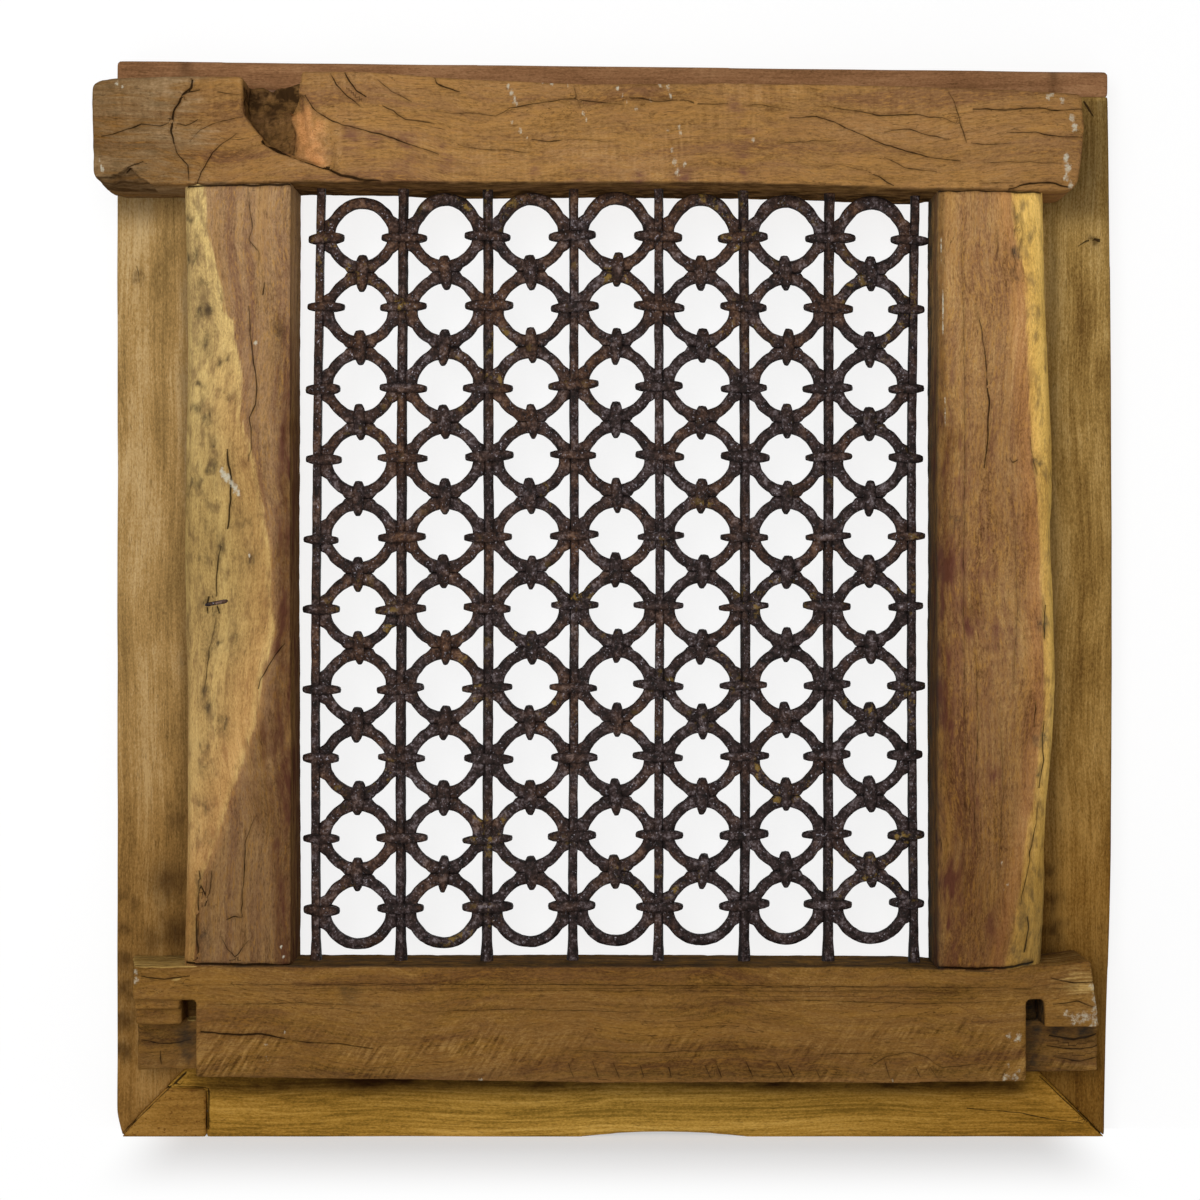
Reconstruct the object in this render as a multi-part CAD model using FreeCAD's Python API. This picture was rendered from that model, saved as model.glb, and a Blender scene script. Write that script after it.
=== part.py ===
"""Wooden window with an iron ring lattice (a jali), in millimetres.

Front faces -Y, +Z is up, and the back rests on a wall at Y = 0. The origin is the middle of the bottom edge
of that back face. An old hewn frame of lintel, sill and two stiles holds eight iron bars. Rings stand between
the bars and are bound to them, and to each other, by wrapped collars. A newer casing of boards, mitred at
the bottom corners, is screwed on behind the old frame.
"""
import FreeCAD
import Part
import math
import os

Vector = FreeCAD.Vector

# Lattice
BAR_COUNT = 8
RING_ROWS = 10
BAR_WIDTH = 8.4
BAR_CHAMFER = 1.2
RING_OUTER_DIAMETER = 68.7
RING_LIMB = 10.0
RING_DEPTH = 8.0
RING_CHAMFER = 1.8
RING_BAR_GAP = 0.3
RING_RING_GAP = 0.3

# Collars: straps wrapped round the bars and rings, pinched to a nub at each end
COLLAR_STRAP_WIDTH = 8.6
COLLAR_STRAP_THICKNESS = 3.4
COLLAR_TIP_WIDTH = 5.0
COLLAR_TIP_DEPTH = 6.0
BAR_COLLAR_NUB = 8.0
RING_COLLAR_NUB = 6.0
COLLAR_CLEARANCE = 0.15

# Opening round the lattice
SIDE_GAP = 15.5
FOOT_GAP = 10.6
HEAD_GAP = 4.4

# Old frame
FRAME_DEPTH = 72.0
STILE_WIDTH = 95.0
SILL_HEIGHT = 102.0
LINTEL_HEIGHT = 92.0
LINTEL_FALL_PER_METRE = 11.0
LINTEL_LEFT_HORN = 84.0
LINTEL_RIGHT_HORN = 36.0
LINTEL_END_ROUND = 7.0
SILL_LEFT_HORN = 48.0
SILL_RIGHT_HORN = 51.0
SILL_END_SLANT = 8.0

# Joints of the old frame
TENON_SHOULDER = 20.0
TENON_CHEEK = 24.0
TENON_LENGTH = 50.0
TENON_CLEARANCE = 0.2
PEG_DIAMETER = 11.0
PEG_BLIND_WALL = 14.0
PEG_CLEARANCE = 0.1
BAR_SOCKET_DEPTH = 32.0
BAR_SOCKET_CLEARANCE = 0.2

# Half laps cut in the sill's ends, with a haunch notch above each
LAP_UNDER_STILE = 11.0
LAP_HEIGHT = 47.5
LAP_TONGUE = 32.0
NOTCH_WIDTH = 16.5
NOTCH_HEIGHT = 24.5
NOTCH_BACK_WALL = 20.0
HORN_CHIP_HEIGHT = 26.0
HORN_CHIP_DEPTH = 10.0

# Decayed hollow in the lintel's face: a deep pocket, open at the top, and a slope that runs out of it
HOLLOW_FROM_LEFT_END = 134.5
HOLLOW_WIDTH = 44.0
HOLLOW_FLOOR = 22.0
HOLLOW_CLIFF = 54.0
HOLLOW_DEPTH = 45.0
HOLLOW_SLOPE_LENGTH = 52.0
HOLLOW_SLOPE_DEPTH = 26.0
HOLLOW_SLOPE_TOP = 78.0
HOLLOW_SLOPE_TAIL = 8.0
HOLLOW_LEAN = 11.0

# Casing
CASING_THICKNESS = 30.0
CASING_SIDE_REVEAL = 74.0
CASING_BOTTOM_REVEAL = 67.5
CASING_SIDE_LAP = 31.0
CASING_SILL_LAP = 37.5
CASING_RIGHT_BOW = 4.0
TOP_BOARD_THICKNESS = 22.0
TOP_BOARD_ABOVE_LINTEL = 6.2
PATCH_LENGTH = 83.0
PATCH_HEIGHT = 45.0
WORN_EDGE_START = -28.0
WORN_EDGE_LENGTH = 152.0
WORN_EDGE_RISE = 5.0
WORN_EDGE_RUN_OUT = 0.8
WORN_EDGE_BACK_LAND = 5.0

# Fasteners
SCREW_SHANK_DIAMETER = 4.8
SCREW_HEAD_DIAMETER = 9.6
SCREW_HEAD_HEIGHT = 4.0
SCREW_BITE = 32.0
SCREW_HORN_INSET = 15.0
STILE_SCREW_SHARES = (0.2, 0.5, 0.8)
SILL_SCREW_SHARES = (-0.43, -0.15, 0.15, 0.43)
NAIL_DIAMETER = 3.0
NAIL_HEAD_DIAMETER = 6.4
NAIL_HEAD_HEIGHT = 1.2
TOP_NAIL_LENGTH = 62.0
CORNER_NAIL_BITE = 24.0
NAIL_EDGE_DISTANCE = 25.0
NAIL_DEPTH_SHARES = (0.3, 0.7)
FASTENER_SINK = 0.6
FASTENER_CLEARANCE = 0.1

# Hewn top edge of the lintel: (share of its length from the left, rise above its nominal height)
LINTEL_TOP_PROFILE = ((0.0, -7.0), (0.03, -2.0), (0.15, 0.0), (0.21, 5.5), (0.26, 7.0), (0.31, 5.0), (0.4, 1.0),
                      (0.51, -1.0), (0.82, -1.0), (0.92, -3.0), (1.0, -7.0))

# Waney outer edges of the stiles, from the sill up:
# (share of the height, bulge beyond the stile's width, width of the wane, its depth from the front)
LEFT_WANE = ((0.0, 2.0, 15.0, 32.0), (0.35, -2.0, 11.0, 30.0), (0.7, -2.0, 11.0, 30.0),
             (1.0, 0.0, 14.0, 32.0))
RIGHT_WANE = ((0.0, 3.0, 38.0, 40.0), (0.09, 4.5, 30.0, 40.0), (0.15, 9.0, 22.0, 35.0),
              (0.28, 13.0, 15.0, 26.0), (0.47, 11.0, 18.0, 28.0), (0.66, 12.0, 25.0, 32.0),
              (0.86, 8.0, 28.0, 40.0), (1.0, 5.0, 37.0, 46.0))

# Levels and places that follow from the sizes above
ring_radius = RING_OUTER_DIAMETER / 2
ring_hole_radius = ring_radius - RING_LIMB
bar_pitch = RING_OUTER_DIAMETER + BAR_WIDTH + 2 * RING_BAR_GAP
ring_pitch = RING_OUTER_DIAMETER + RING_RING_GAP
lattice_width = (BAR_COUNT - 1) * bar_pitch + BAR_WIDTH
lattice_height = RING_ROWS * ring_pitch - RING_RING_GAP
opening_half = lattice_width / 2 + SIDE_GAP
stile_outer = opening_half + STILE_WIDTH
stile_middle = opening_half + STILE_WIDTH / 2

frame_back = -CASING_THICKNESS
frame_front = frame_back - FRAME_DEPTH
lattice_plane = frame_back - FRAME_DEPTH / 2

sill_bottom = CASING_BOTTOM_REVEAL
sill_top = sill_bottom + SILL_HEIGHT
lattice_foot = sill_top + FOOT_GAP
soffit_middle = lattice_foot + lattice_height + HEAD_GAP
lintel_slope = LINTEL_FALL_PER_METRE / 1000

lintel_left = -(stile_outer + LINTEL_LEFT_HORN)
lintel_right = stile_outer + LINTEL_RIGHT_HORN
lintel_length = lintel_right - lintel_left
sill_left = -(stile_outer + SILL_LEFT_HORN)
sill_right = stile_outer + SILL_RIGHT_HORN
lap_face = stile_outer - LAP_UNDER_STILE
lap_top = sill_bottom + LAP_HEIGHT
lap_back = frame_back - LAP_TONGUE
notch_back = frame_back - NOTCH_BACK_WALL

casing_half = stile_outer + CASING_SIDE_REVEAL
casing_inner = stile_outer - CASING_SIDE_LAP
casing_sill_edge = sill_bottom + CASING_SILL_LAP

window_depth = max(BAR_WIDTH, RING_DEPTH) + 2 * COLLAR_CLEARANCE

# Lengths that only have to reach past a face before a cut
OVERSHOOT = 20.0


def soffit(x):
    """Height of the lintel's underside, which falls to the right."""
    return soffit_middle - lintel_slope * x


def top_board_underside(x):
    """Height of the casing's top board, which falls with the lintel."""
    return soffit(x) + LINTEL_HEIGHT + TOP_BOARD_ABOVE_LINTEL


def bar_x(index):
    return (index - (BAR_COUNT - 1) / 2) * bar_pitch


def ring_x(column):
    return (bar_x(column) + bar_x(column + 1)) / 2


def ring_z(row):
    """Centre of a ring, counted from the sill up."""
    return lattice_foot + ring_radius + row * ring_pitch


def block(x_low, x_high, y_low, y_high, z_low, z_high):
    return Part.makeBox(x_high - x_low, y_high - y_low, z_high - z_low, Vector(x_low, y_low, z_low))


def closed_face(points):
    return Part.Face(Part.makePolygon(points + points[:1]))


def front_prism(outline, y_low, y_high):
    """Solid with an (x, z) outline, as the window is seen from the front."""
    return closed_face([Vector(x, y_low, z) for x, z in outline]).extrude(Vector(0, y_high - y_low, 0))


def plan_prism(outline, z_low, z_high):
    """Solid with an (x, y) outline, as the window is seen from above."""
    return closed_face([Vector(x, y, z_low) for x, y in outline]).extrude(Vector(0, 0, z_high - z_low))


def chamfered_rectangle(half_width, half_height, chamfer):
    """The eight corners of a rectangle with its corners cut, about the origin."""
    inner_width = half_width - chamfer
    inner_height = half_height - chamfer
    return [(-inner_width, -half_height), (inner_width, -half_height), (half_width, -inner_height),
            (half_width, inner_height), (inner_width, half_height), (-inner_width, half_height),
            (-half_width, inner_height), (-half_width, -inner_height)]


def cut_all(solid, tools):
    return solid.cut(Part.makeCompound(tools))


def mirrored(sign, low, high):
    """A stretch of X on the right side, or its mirror image on the left, lowest end first."""
    return (low, high) if sign > 0 else (-high, -low)


# Fasteners

def screw(x, z, growth=0.0):
    """Countersunk wood screw driven from the back. A positive growth gives the hole that it sits in."""
    head_back = -FASTENER_SINK
    shank_radius = SCREW_SHANK_DIAMETER / 2 + growth
    head_radius = SCREW_HEAD_DIAMETER / 2 + growth
    length = CASING_THICKNESS + SCREW_BITE - FASTENER_SINK + growth
    forwards = Vector(0, -1, 0)
    shank = Part.makeCylinder(shank_radius, length, Vector(x, head_back, z), forwards)
    head = Part.makeCone(head_radius, shank_radius, SCREW_HEAD_HEIGHT, Vector(x, head_back, z), forwards)
    body = shank.fuse(head)
    if growth > 0:
        body = body.fuse(Part.makeCylinder(head_radius, FASTENER_SINK, Vector(x, 0, z), forwards))
    return body.removeSplitter()


def nail(start, direction, length, growth=0.0):
    """Round nail whose head lies just under the face that it was driven through."""
    head_face = start + direction * FASTENER_SINK
    shank = Part.makeCylinder(NAIL_DIAMETER / 2 + growth, length + growth, head_face, direction)
    head_start = start - direction * FASTENER_SINK if growth > 0 else head_face
    head_height = NAIL_HEAD_HEIGHT + (2 * FASTENER_SINK if growth > 0 else 0.0)
    head = Part.makeCylinder(NAIL_HEAD_DIAMETER / 2 + growth, head_height, head_start, direction)
    return shank.fuse(head).removeSplitter()


def screw_places():
    """(x, z) of every screw: horns, stiles and sill."""
    horn_middle = (lap_top + sill_top) / 2
    places = []
    for side in (-1, 1):
        horn_x = side * (stile_outer + SCREW_HORN_INSET)
        stile_x = side * (stile_outer + casing_inner) / 2
        places.append((horn_x, soffit(horn_x) + LINTEL_HEIGHT / 2))
        places.append((horn_x, horn_middle))
        for share in STILE_SCREW_SHARES:
            places.append((stile_x, sill_top + share * (soffit(stile_x) - sill_top)))
    for share in SILL_SCREW_SHARES:
        places.append((share * 2 * opening_half, (sill_bottom + casing_sill_edge) / 2))
    return places


def top_nail_places():
    """Heads of the nails through the top board into the side boards."""
    for side in (-1, 1):
        x = side * (casing_half - NAIL_EDGE_DISTANCE)
        for share in NAIL_DEPTH_SHARES:
            yield Vector(x, -share * CASING_THICKNESS, top_board_underside(x) + TOP_BOARD_THICKNESS)


def corner_nail_runs():
    """(head, direction, length) of the nails through the side boards' feet into the bottom board."""
    z = PATCH_HEIGHT / 2
    for share in NAIL_DEPTH_SHARES:
        y = -share * CASING_THICKNESS
        yield Vector(-casing_half, y, z), Vector(1, 0, 0), PATCH_LENGTH + CORNER_NAIL_BITE
        yield Vector(casing_half, y, z), Vector(-1, 0, 0), z + CORNER_NAIL_BITE


def all_screws(growth=0.0):
    return [screw(x, z, growth) for x, z in screw_places()]


def top_nails(growth=0.0):
    return [nail(head, Vector(0, 0, -1), TOP_NAIL_LENGTH, growth) for head in top_nail_places()]


def corner_nails(growth=0.0):
    return [nail(head, direction, length, growth) for head, direction, length in corner_nail_runs()]


def peg(x, z, growth=0.0):
    """Wooden peg through a tenon, driven from the back of the frame and blind at the front."""
    length = FRAME_DEPTH - PEG_BLIND_WALL + growth
    return Part.makeCylinder(PEG_DIAMETER / 2 + growth, length, Vector(x, frame_back, z), Vector(0, -1, 0))


def tenon_pegs(growth=0.0):
    half_tenon = TENON_LENGTH / 2
    pegs = []
    for x in (-stile_middle, stile_middle):
        pegs.append(peg(x, sill_top - half_tenon, growth))
        pegs.append(peg(x, soffit(x) + half_tenon, growth))
    return pegs


# Iron lattice

def bar(index, growth=0.0):
    """Square bar with softened corners, housed in the sill and the lintel."""
    x = bar_x(index)
    half = BAR_WIDTH / 2 + growth
    section = [(x + u, lattice_plane + v) for u, v in chamfered_rectangle(half, half, BAR_CHAMFER)]
    return plan_prism(section, sill_top - BAR_SOCKET_DEPTH - growth, soffit(x) + BAR_SOCKET_DEPTH + growth)


def ring():
    """One ring about the origin, its axis along Y."""
    section = chamfered_rectangle(RING_LIMB / 2, RING_DEPTH / 2, RING_CHAMFER)
    middle = ring_radius - RING_LIMB / 2
    face = closed_face([Vector(middle + u, v, 0) for u, v in section])
    return face.revolve(Vector(0, 0, 0), Vector(0, 1, 0), 360)


def collar(window_low, window_high, nub):
    """Collar about the origin that binds what passes between two values of X, with a nub at each end."""
    tip_low = window_low - nub
    tip_high = window_high + nub
    half_strap = COLLAR_STRAP_WIDTH / 2
    half_depth = window_depth / 2 + COLLAR_STRAP_THICKNESS

    def spindle(half_tip, half_middle):
        return [(tip_low, -half_tip), (window_low, -half_middle), (window_high, -half_middle),
                (tip_high, -half_tip), (tip_high, half_tip), (window_high, half_middle),
                (window_low, half_middle), (tip_low, half_tip)]

    from_front = front_prism(spindle(COLLAR_TIP_WIDTH / 2, half_strap), -half_depth, half_depth)
    from_above = plan_prism(spindle(COLLAR_TIP_DEPTH / 2, half_depth), -half_strap, half_strap)
    window = block(window_low, window_high, -window_depth / 2, window_depth / 2, -OVERSHOOT, OVERSHOOT)
    return from_front.common(from_above).cut(window)


def limb_reach(centre_distance):
    """How far a ring's inner edge stands from a line past it, at the strap's edge, with clearance."""
    return centre_distance - math.sqrt(ring_hole_radius ** 2 - (COLLAR_STRAP_WIDTH / 2) ** 2) + COLLAR_CLEARANCE


def placed(solid, x, z):
    copy = solid.copy()
    copy.translate(Vector(x, lattice_plane, z))
    return copy


def ring_column(column, one_ring):
    return [placed(one_ring, ring_x(column), ring_z(row)) for row in range(RING_ROWS)]


def bar_collars(index):
    """The collars along one bar. The outer bars have a ring on one side only."""
    bar_side = BAR_WIDTH / 2 + COLLAR_CLEARANCE
    past_ring = limb_reach(bar_pitch / 2)
    left = -bar_side if index == 0 else -past_ring
    right = bar_side if index == BAR_COUNT - 1 else past_ring
    one_collar = collar(left, right, BAR_COLLAR_NUB)
    return [placed(one_collar, bar_x(index), ring_z(row)) for row in range(RING_ROWS)]


def ring_collars(column):
    """The collars between one ring and the next, up a column."""
    past_ring = limb_reach(ring_pitch / 2)
    one_collar = collar(-past_ring, past_ring, RING_COLLAR_NUB)
    one_collar.rotate(Vector(0, 0, 0), Vector(0, 1, 0), 90)
    return [placed(one_collar, ring_x(column), ring_z(row) + ring_pitch / 2) for row in range(RING_ROWS - 1)]


def bar_sockets():
    return [bar(index, BAR_SOCKET_CLEARANCE) for index in range(BAR_COUNT)]


# Old frame

def tenon(x, z_low, z_high, growth=0.0):
    half_width = STILE_WIDTH / 2 - TENON_SHOULDER + growth
    half_thickness = FRAME_DEPTH / 2 - TENON_CHEEK + growth
    return block(x - half_width, x + half_width, lattice_plane - half_thickness, lattice_plane + half_thickness,
                 z_low - growth, z_high + growth)


def mortises():
    """The pockets for the stiles' tenons, in the sill and in the lintel."""
    pockets = []
    for x in (-stile_middle, stile_middle):
        pockets.append(tenon(x, sill_top - TENON_LENGTH, sill_top, TENON_CLEARANCE))
        pockets.append(tenon(x, soffit(x), soffit(x) + TENON_LENGTH, TENON_CLEARANCE))
    return pockets


def stile(side, wane):
    """A stile with its waney outer edge and a tenon at each end. side is -1 on the left and 1 on the right."""
    low = sill_top - OVERSHOOT
    high = soffit(side * stile_middle) + OVERSHOOT
    sections = []
    for share, bulge, wane_width, wane_depth in wane:
        z = low + share * (high - low)
        outer = stile_outer + bulge
        corners = [(opening_half, frame_front), (outer - wane_width, frame_front),
                   (outer, frame_front + wane_depth), (outer, frame_back), (opening_half, frame_back)]
        points = [Vector(side * x, y, z) for x, y in corners]
        sections.append(Part.makePolygon(points + points[:1]))
    log = Part.makeLoft(sections, True, True)
    reach = casing_half
    daylight = [(-reach, sill_top), (reach, sill_top), (reach, soffit(reach)), (-reach, soffit(-reach))]
    between = front_prism(daylight, frame_front - OVERSHOOT, frame_back + OVERSHOOT)
    x = side * stile_middle
    foot = tenon(x, sill_top - TENON_LENGTH, sill_top + OVERSHOOT)
    head = tenon(x, soffit(x) - OVERSHOOT, soffit(x) + TENON_LENGTH)
    body = log.common(between).fuse([foot, head])
    return cut_all(body, all_screws(FASTENER_CLEARANCE) + tenon_pegs(PEG_CLEARANCE)).removeSplitter()


def lintel_hollow():
    """The deep pocket and the slope that runs out of it to the right."""
    left = lintel_left + HOLLOW_FROM_LEFT_END
    right = left + HOLLOW_WIDTH
    slope_end = right + HOLLOW_SLOPE_LENGTH
    base = soffit(left)
    above = base + LINTEL_HEIGHT + OVERSHOOT
    pocket_outline = [(left, above), (left, base + HOLLOW_CLIFF), (right, base + HOLLOW_FLOOR),
                      (right, base + HOLLOW_SLOPE_TOP), (right + HOLLOW_LEAN, above)]
    pocket = front_prism(pocket_outline, frame_front - OVERSHOOT, frame_front + HOLLOW_DEPTH)
    slope_outline = [(right, base + HOLLOW_FLOOR), (slope_end, base + HOLLOW_SLOPE_TAIL),
                     (slope_end, base + HOLLOW_CLIFF), (right, base + HOLLOW_SLOPE_TOP)]
    slope_side = [(right, frame_front), (right, frame_front + HOLLOW_SLOPE_DEPTH), (slope_end, frame_front)]
    slope = front_prism(slope_outline, frame_front - OVERSHOOT, frame_front + HOLLOW_DEPTH)
    slope = slope.common(plan_prism(slope_side, base - OVERSHOOT, above))
    return [pocket, slope]


def lintel():
    outline = [(lintel_right - LINTEL_END_ROUND, soffit(lintel_right)),
               (lintel_left + LINTEL_END_ROUND, soffit(lintel_left)),
               (lintel_left, soffit(lintel_left) + LINTEL_END_ROUND)]
    for share, rise in LINTEL_TOP_PROFILE:
        x = lintel_left + share * lintel_length
        outline.append((x, soffit(x) + LINTEL_HEIGHT + rise))
    beam = front_prism(outline, frame_front, frame_back)
    return cut_all(beam, lintel_hollow() + mortises() + bar_sockets() + tenon_pegs(PEG_CLEARANCE)
                   + all_screws(FASTENER_CLEARANCE)).removeSplitter()


def sill_lap(side, end):
    """The half lap and haunch notch at one end of the sill."""
    lap_x = mirrored(side, lap_face, abs(end) + OVERSHOOT)
    notch_x = mirrored(side, lap_face, lap_face + NOTCH_WIDTH)
    front = frame_front - OVERSHOOT
    lap = block(*lap_x, front, lap_back, sill_bottom - OVERSHOOT, lap_top)
    notch = block(*notch_x, front, notch_back, lap_top - OVERSHOOT, lap_top + NOTCH_HEIGHT)
    return [lap, notch]


def sill():
    outline = [(sill_left, sill_bottom), (sill_right, sill_bottom), (sill_right, sill_top - SILL_HEIGHT / 2),
               (sill_right - SILL_END_SLANT, sill_top), (sill_left, sill_top)]
    beam = front_prism(outline, frame_front, frame_back)
    chip = block(sill_left - OVERSHOOT, -(lap_face + NOTCH_WIDTH), frame_front - OVERSHOOT,
                 frame_front + HORN_CHIP_DEPTH, lap_top - OVERSHOOT, lap_top + HORN_CHIP_HEIGHT)
    laps = sill_lap(-1, sill_left) + sill_lap(1, sill_right)
    return cut_all(beam, laps + [chip] + mortises() + bar_sockets() + tenon_pegs(PEG_CLEARANCE)
                   + all_screws(FASTENER_CLEARANCE)).removeSplitter()


# Casing

def casing_holes():
    return all_screws(FASTENER_CLEARANCE) + top_nails(FASTENER_CLEARANCE) + corner_nails(FASTENER_CLEARANCE)


def casing_left():
    outline = [(-casing_half, 0), (-casing_inner, casing_sill_edge),
               (-casing_inner, top_board_underside(-casing_inner)),
               (-casing_half, top_board_underside(-casing_half))]
    return cut_all(front_prism(outline, -CASING_THICKNESS, 0), casing_holes())


def casing_right():
    """Right side board, whose outer edge bows out."""
    top = top_board_underside(casing_half)
    back = 0.0
    foot = Vector(casing_half, back, 0)
    bulge = Vector(casing_half + CASING_RIGHT_BOW, back, top / 2)
    head = Vector(casing_half, back, top)
    inner_head = Vector(casing_inner, back, top_board_underside(casing_inner))
    inner_foot = Vector(casing_inner, back, casing_sill_edge)
    edges = [Part.Arc(foot, bulge, head).toShape()]
    for start, end in ((head, inner_head), (inner_head, inner_foot), (inner_foot, foot)):
        edges.append(Part.LineSegment(start, end).toShape())
    board = Part.Face(Part.Wire(edges)).extrude(Vector(0, -CASING_THICKNESS, 0))
    return cut_all(board, casing_holes())


def patch_outline():
    """The repair at the left end of the bottom board: a mitre, a level top and an upright end."""
    mitre_run = (casing_half - casing_inner) * PATCH_HEIGHT / casing_sill_edge
    left = -casing_half
    right = left + PATCH_LENGTH
    return [(left, 0), (right, 0), (right, PATCH_HEIGHT), (left + mitre_run, PATCH_HEIGHT)]


def casing_patch():
    return cut_all(front_prism(patch_outline(), -CASING_THICKNESS, 0), casing_holes())


def worn_edge():
    """Wear along the lower front edge of the bottom board, which runs out before the back."""
    wires = []
    for y, rise in ((-CASING_THICKNESS, WORN_EDGE_RISE), (-WORN_EDGE_BACK_LAND, WORN_EDGE_RUN_OUT)):
        start = Vector(WORN_EDGE_START, y, 0)
        crown = Vector(WORN_EDGE_START + WORN_EDGE_LENGTH / 2, y, rise)
        end = Vector(WORN_EDGE_START + WORN_EDGE_LENGTH, y, 0)
        wires.append(Part.Wire([Part.Arc(start, crown, end).toShape(), Part.LineSegment(end, start).toShape()]))
    return Part.makeLoft(wires, True, True)


def casing_bottom():
    """Bottom board with mitred ends and the patch let in at the left."""
    outline = [(-casing_half, 0), (casing_half, 0), (casing_inner, casing_sill_edge),
               (-casing_inner, casing_sill_edge)]
    board = front_prism(outline, -CASING_THICKNESS, 0)
    let_in = front_prism(patch_outline(), -CASING_THICKNESS, 0)
    return cut_all(board, [let_in, worn_edge()] + casing_holes())


def casing_top():
    outline = []
    for x in (-casing_half, casing_half):
        outline.append((x, top_board_underside(x)))
    for x in (casing_half, -casing_half):
        outline.append((x, top_board_underside(x) + TOP_BOARD_THICKNESS))
    return cut_all(front_prism(outline, -CASING_THICKNESS, 0), casing_holes())


def export(node, solids):
    shape = solids[0] if len(solids) == 1 else Part.makeCompound(solids)
    shape.exportStep(os.path.join("parts", node + ".step"))


def main():
    os.makedirs("parts", exist_ok=True)
    export("lintel", [lintel()])
    export("sill", [sill()])
    export("left_stile", [stile(-1, LEFT_WANE)])
    export("right_stile", [stile(1, RIGHT_WANE)])
    export("tenon_pegs", tenon_pegs())
    export("casing_left", [casing_left()])
    export("casing_right", [casing_right()])
    export("casing_bottom", [casing_bottom()])
    export("casing_top", [casing_top()])
    export("casing_patch", [casing_patch()])
    export("casing_screws", all_screws())
    export("top_board_nails", top_nails())
    export("corner_nails", corner_nails())
    one_ring = ring()
    for index in range(BAR_COUNT):
        export(f"bar_{index + 1}", [bar(index)])
        export(f"bar_collars_{index + 1}", bar_collars(index))
    for column in range(BAR_COUNT - 1):
        export(f"ring_column_{column + 1}", ring_column(column, one_ring))
        export(f"ring_collars_{column + 1}", ring_collars(column))


main()
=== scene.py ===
"""Looks of the jali window: hewn teak timbers, a casing of planed boards and a lattice of forged iron.

Sizes inside this script are millimetres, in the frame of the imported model: +Z up, the front faces -Y and the
wall is at Y = 0. Meshes are written in metres.
"""
import math

import bmesh
import bpy
import numpy as np
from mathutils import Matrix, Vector


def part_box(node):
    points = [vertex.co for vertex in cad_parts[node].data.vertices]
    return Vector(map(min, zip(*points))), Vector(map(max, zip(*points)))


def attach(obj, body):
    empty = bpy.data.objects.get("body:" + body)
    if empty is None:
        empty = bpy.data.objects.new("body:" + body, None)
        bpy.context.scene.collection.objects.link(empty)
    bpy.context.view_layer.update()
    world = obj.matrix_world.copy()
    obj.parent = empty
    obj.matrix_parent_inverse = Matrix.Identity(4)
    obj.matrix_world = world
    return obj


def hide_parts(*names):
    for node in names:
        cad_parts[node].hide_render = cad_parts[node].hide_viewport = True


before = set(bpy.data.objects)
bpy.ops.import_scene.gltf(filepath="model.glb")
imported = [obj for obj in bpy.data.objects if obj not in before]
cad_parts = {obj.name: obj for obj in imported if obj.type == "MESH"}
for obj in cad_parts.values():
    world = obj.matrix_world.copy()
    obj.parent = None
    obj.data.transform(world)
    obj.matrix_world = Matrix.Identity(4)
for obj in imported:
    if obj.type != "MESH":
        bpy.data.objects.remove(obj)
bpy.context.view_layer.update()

MM = 0.001
BODY = "root"

# How the photograph was taken: its scale in the plane of the timbers' faces, and where the camera stood
PHOTO_SIDE = 1200
PHOTO_MIDDLE = PHOTO_SIDE / 2
PHOTO_MM_PER_PIXEL = 0.9
CAMERA_DISTANCE = 2140.0
CAMERA_X = -11.7
CAMERA_Z = 499.4
SENSOR_WIDTH = 36.0

# Grain of the carved meshes: the voxel of the hewn timbers and of the planed boards
TIMBER_VOXEL = 1.9
BOARD_VOXEL = 2.6


def node_box(*nodes):
    """Lowest and highest corner of some CAD nodes, in millimetres."""
    corners = [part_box(name) for name in nodes]
    low = np.min([np.array(low) for low, high in corners], axis=0) / MM
    high = np.max([np.array(high) for low, high in corners], axis=0) / MM
    return low, high


SILL_LOW, SILL_HIGH = node_box("sill")
LINTEL_LOW, LINTEL_HIGH = node_box("lintel")
CASING_LOW = node_box("casing_left", "casing_right", "casing_bottom", "casing_top")[0]
FACE = LINTEL_LOW[1]
BACK = LINTEL_HIGH[1]
CASING_FACE = CASING_LOW[1]
LATTICE = (FACE + BACK) / 2


def from_photo(px, py, plane=FACE):
    """The (x, z) of a photograph's pixel, in millimetres, in a plane of constant y."""
    scale = PHOTO_MM_PER_PIXEL * (CAMERA_DISTANCE + plane - FACE) / CAMERA_DISTANCE
    return CAMERA_X + (px - PHOTO_MIDDLE) * scale, CAMERA_Z - (py - PHOTO_MIDDLE) * scale


def to_photo(points):
    """The pixel x and y of points in the plane of the timbers' faces."""
    px = PHOTO_MIDDLE + (points[:, 0] - CAMERA_X) / PHOTO_MM_PER_PIXEL
    return px, PHOTO_MIDDLE + (CAMERA_Z - points[:, 2]) / PHOTO_MM_PER_PIXEL


def line_from_photo(points, plane=FACE):
    return np.array([from_photo(px, py, plane) for px, py in points])


# Noise, for wear that no two places share

def hashed(cell, seed):
    """A fixed number from -1 to 1 for each whole-numbered cell."""
    mixed = cell[:, 0] * 73856093 ^ cell[:, 1] * 19349663 ^ cell[:, 2] * 83492791 ^ (seed + 1) * 40503
    mixed = (mixed ^ mixed >> 13) * 1274126177 & 0xFFFFFFFF
    mixed = (mixed ^ mixed >> 16) * 668265263 & 0xFFFFFFFF
    return (mixed >> 8 & 0xFFFF) / 32767.5 - 1


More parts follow.
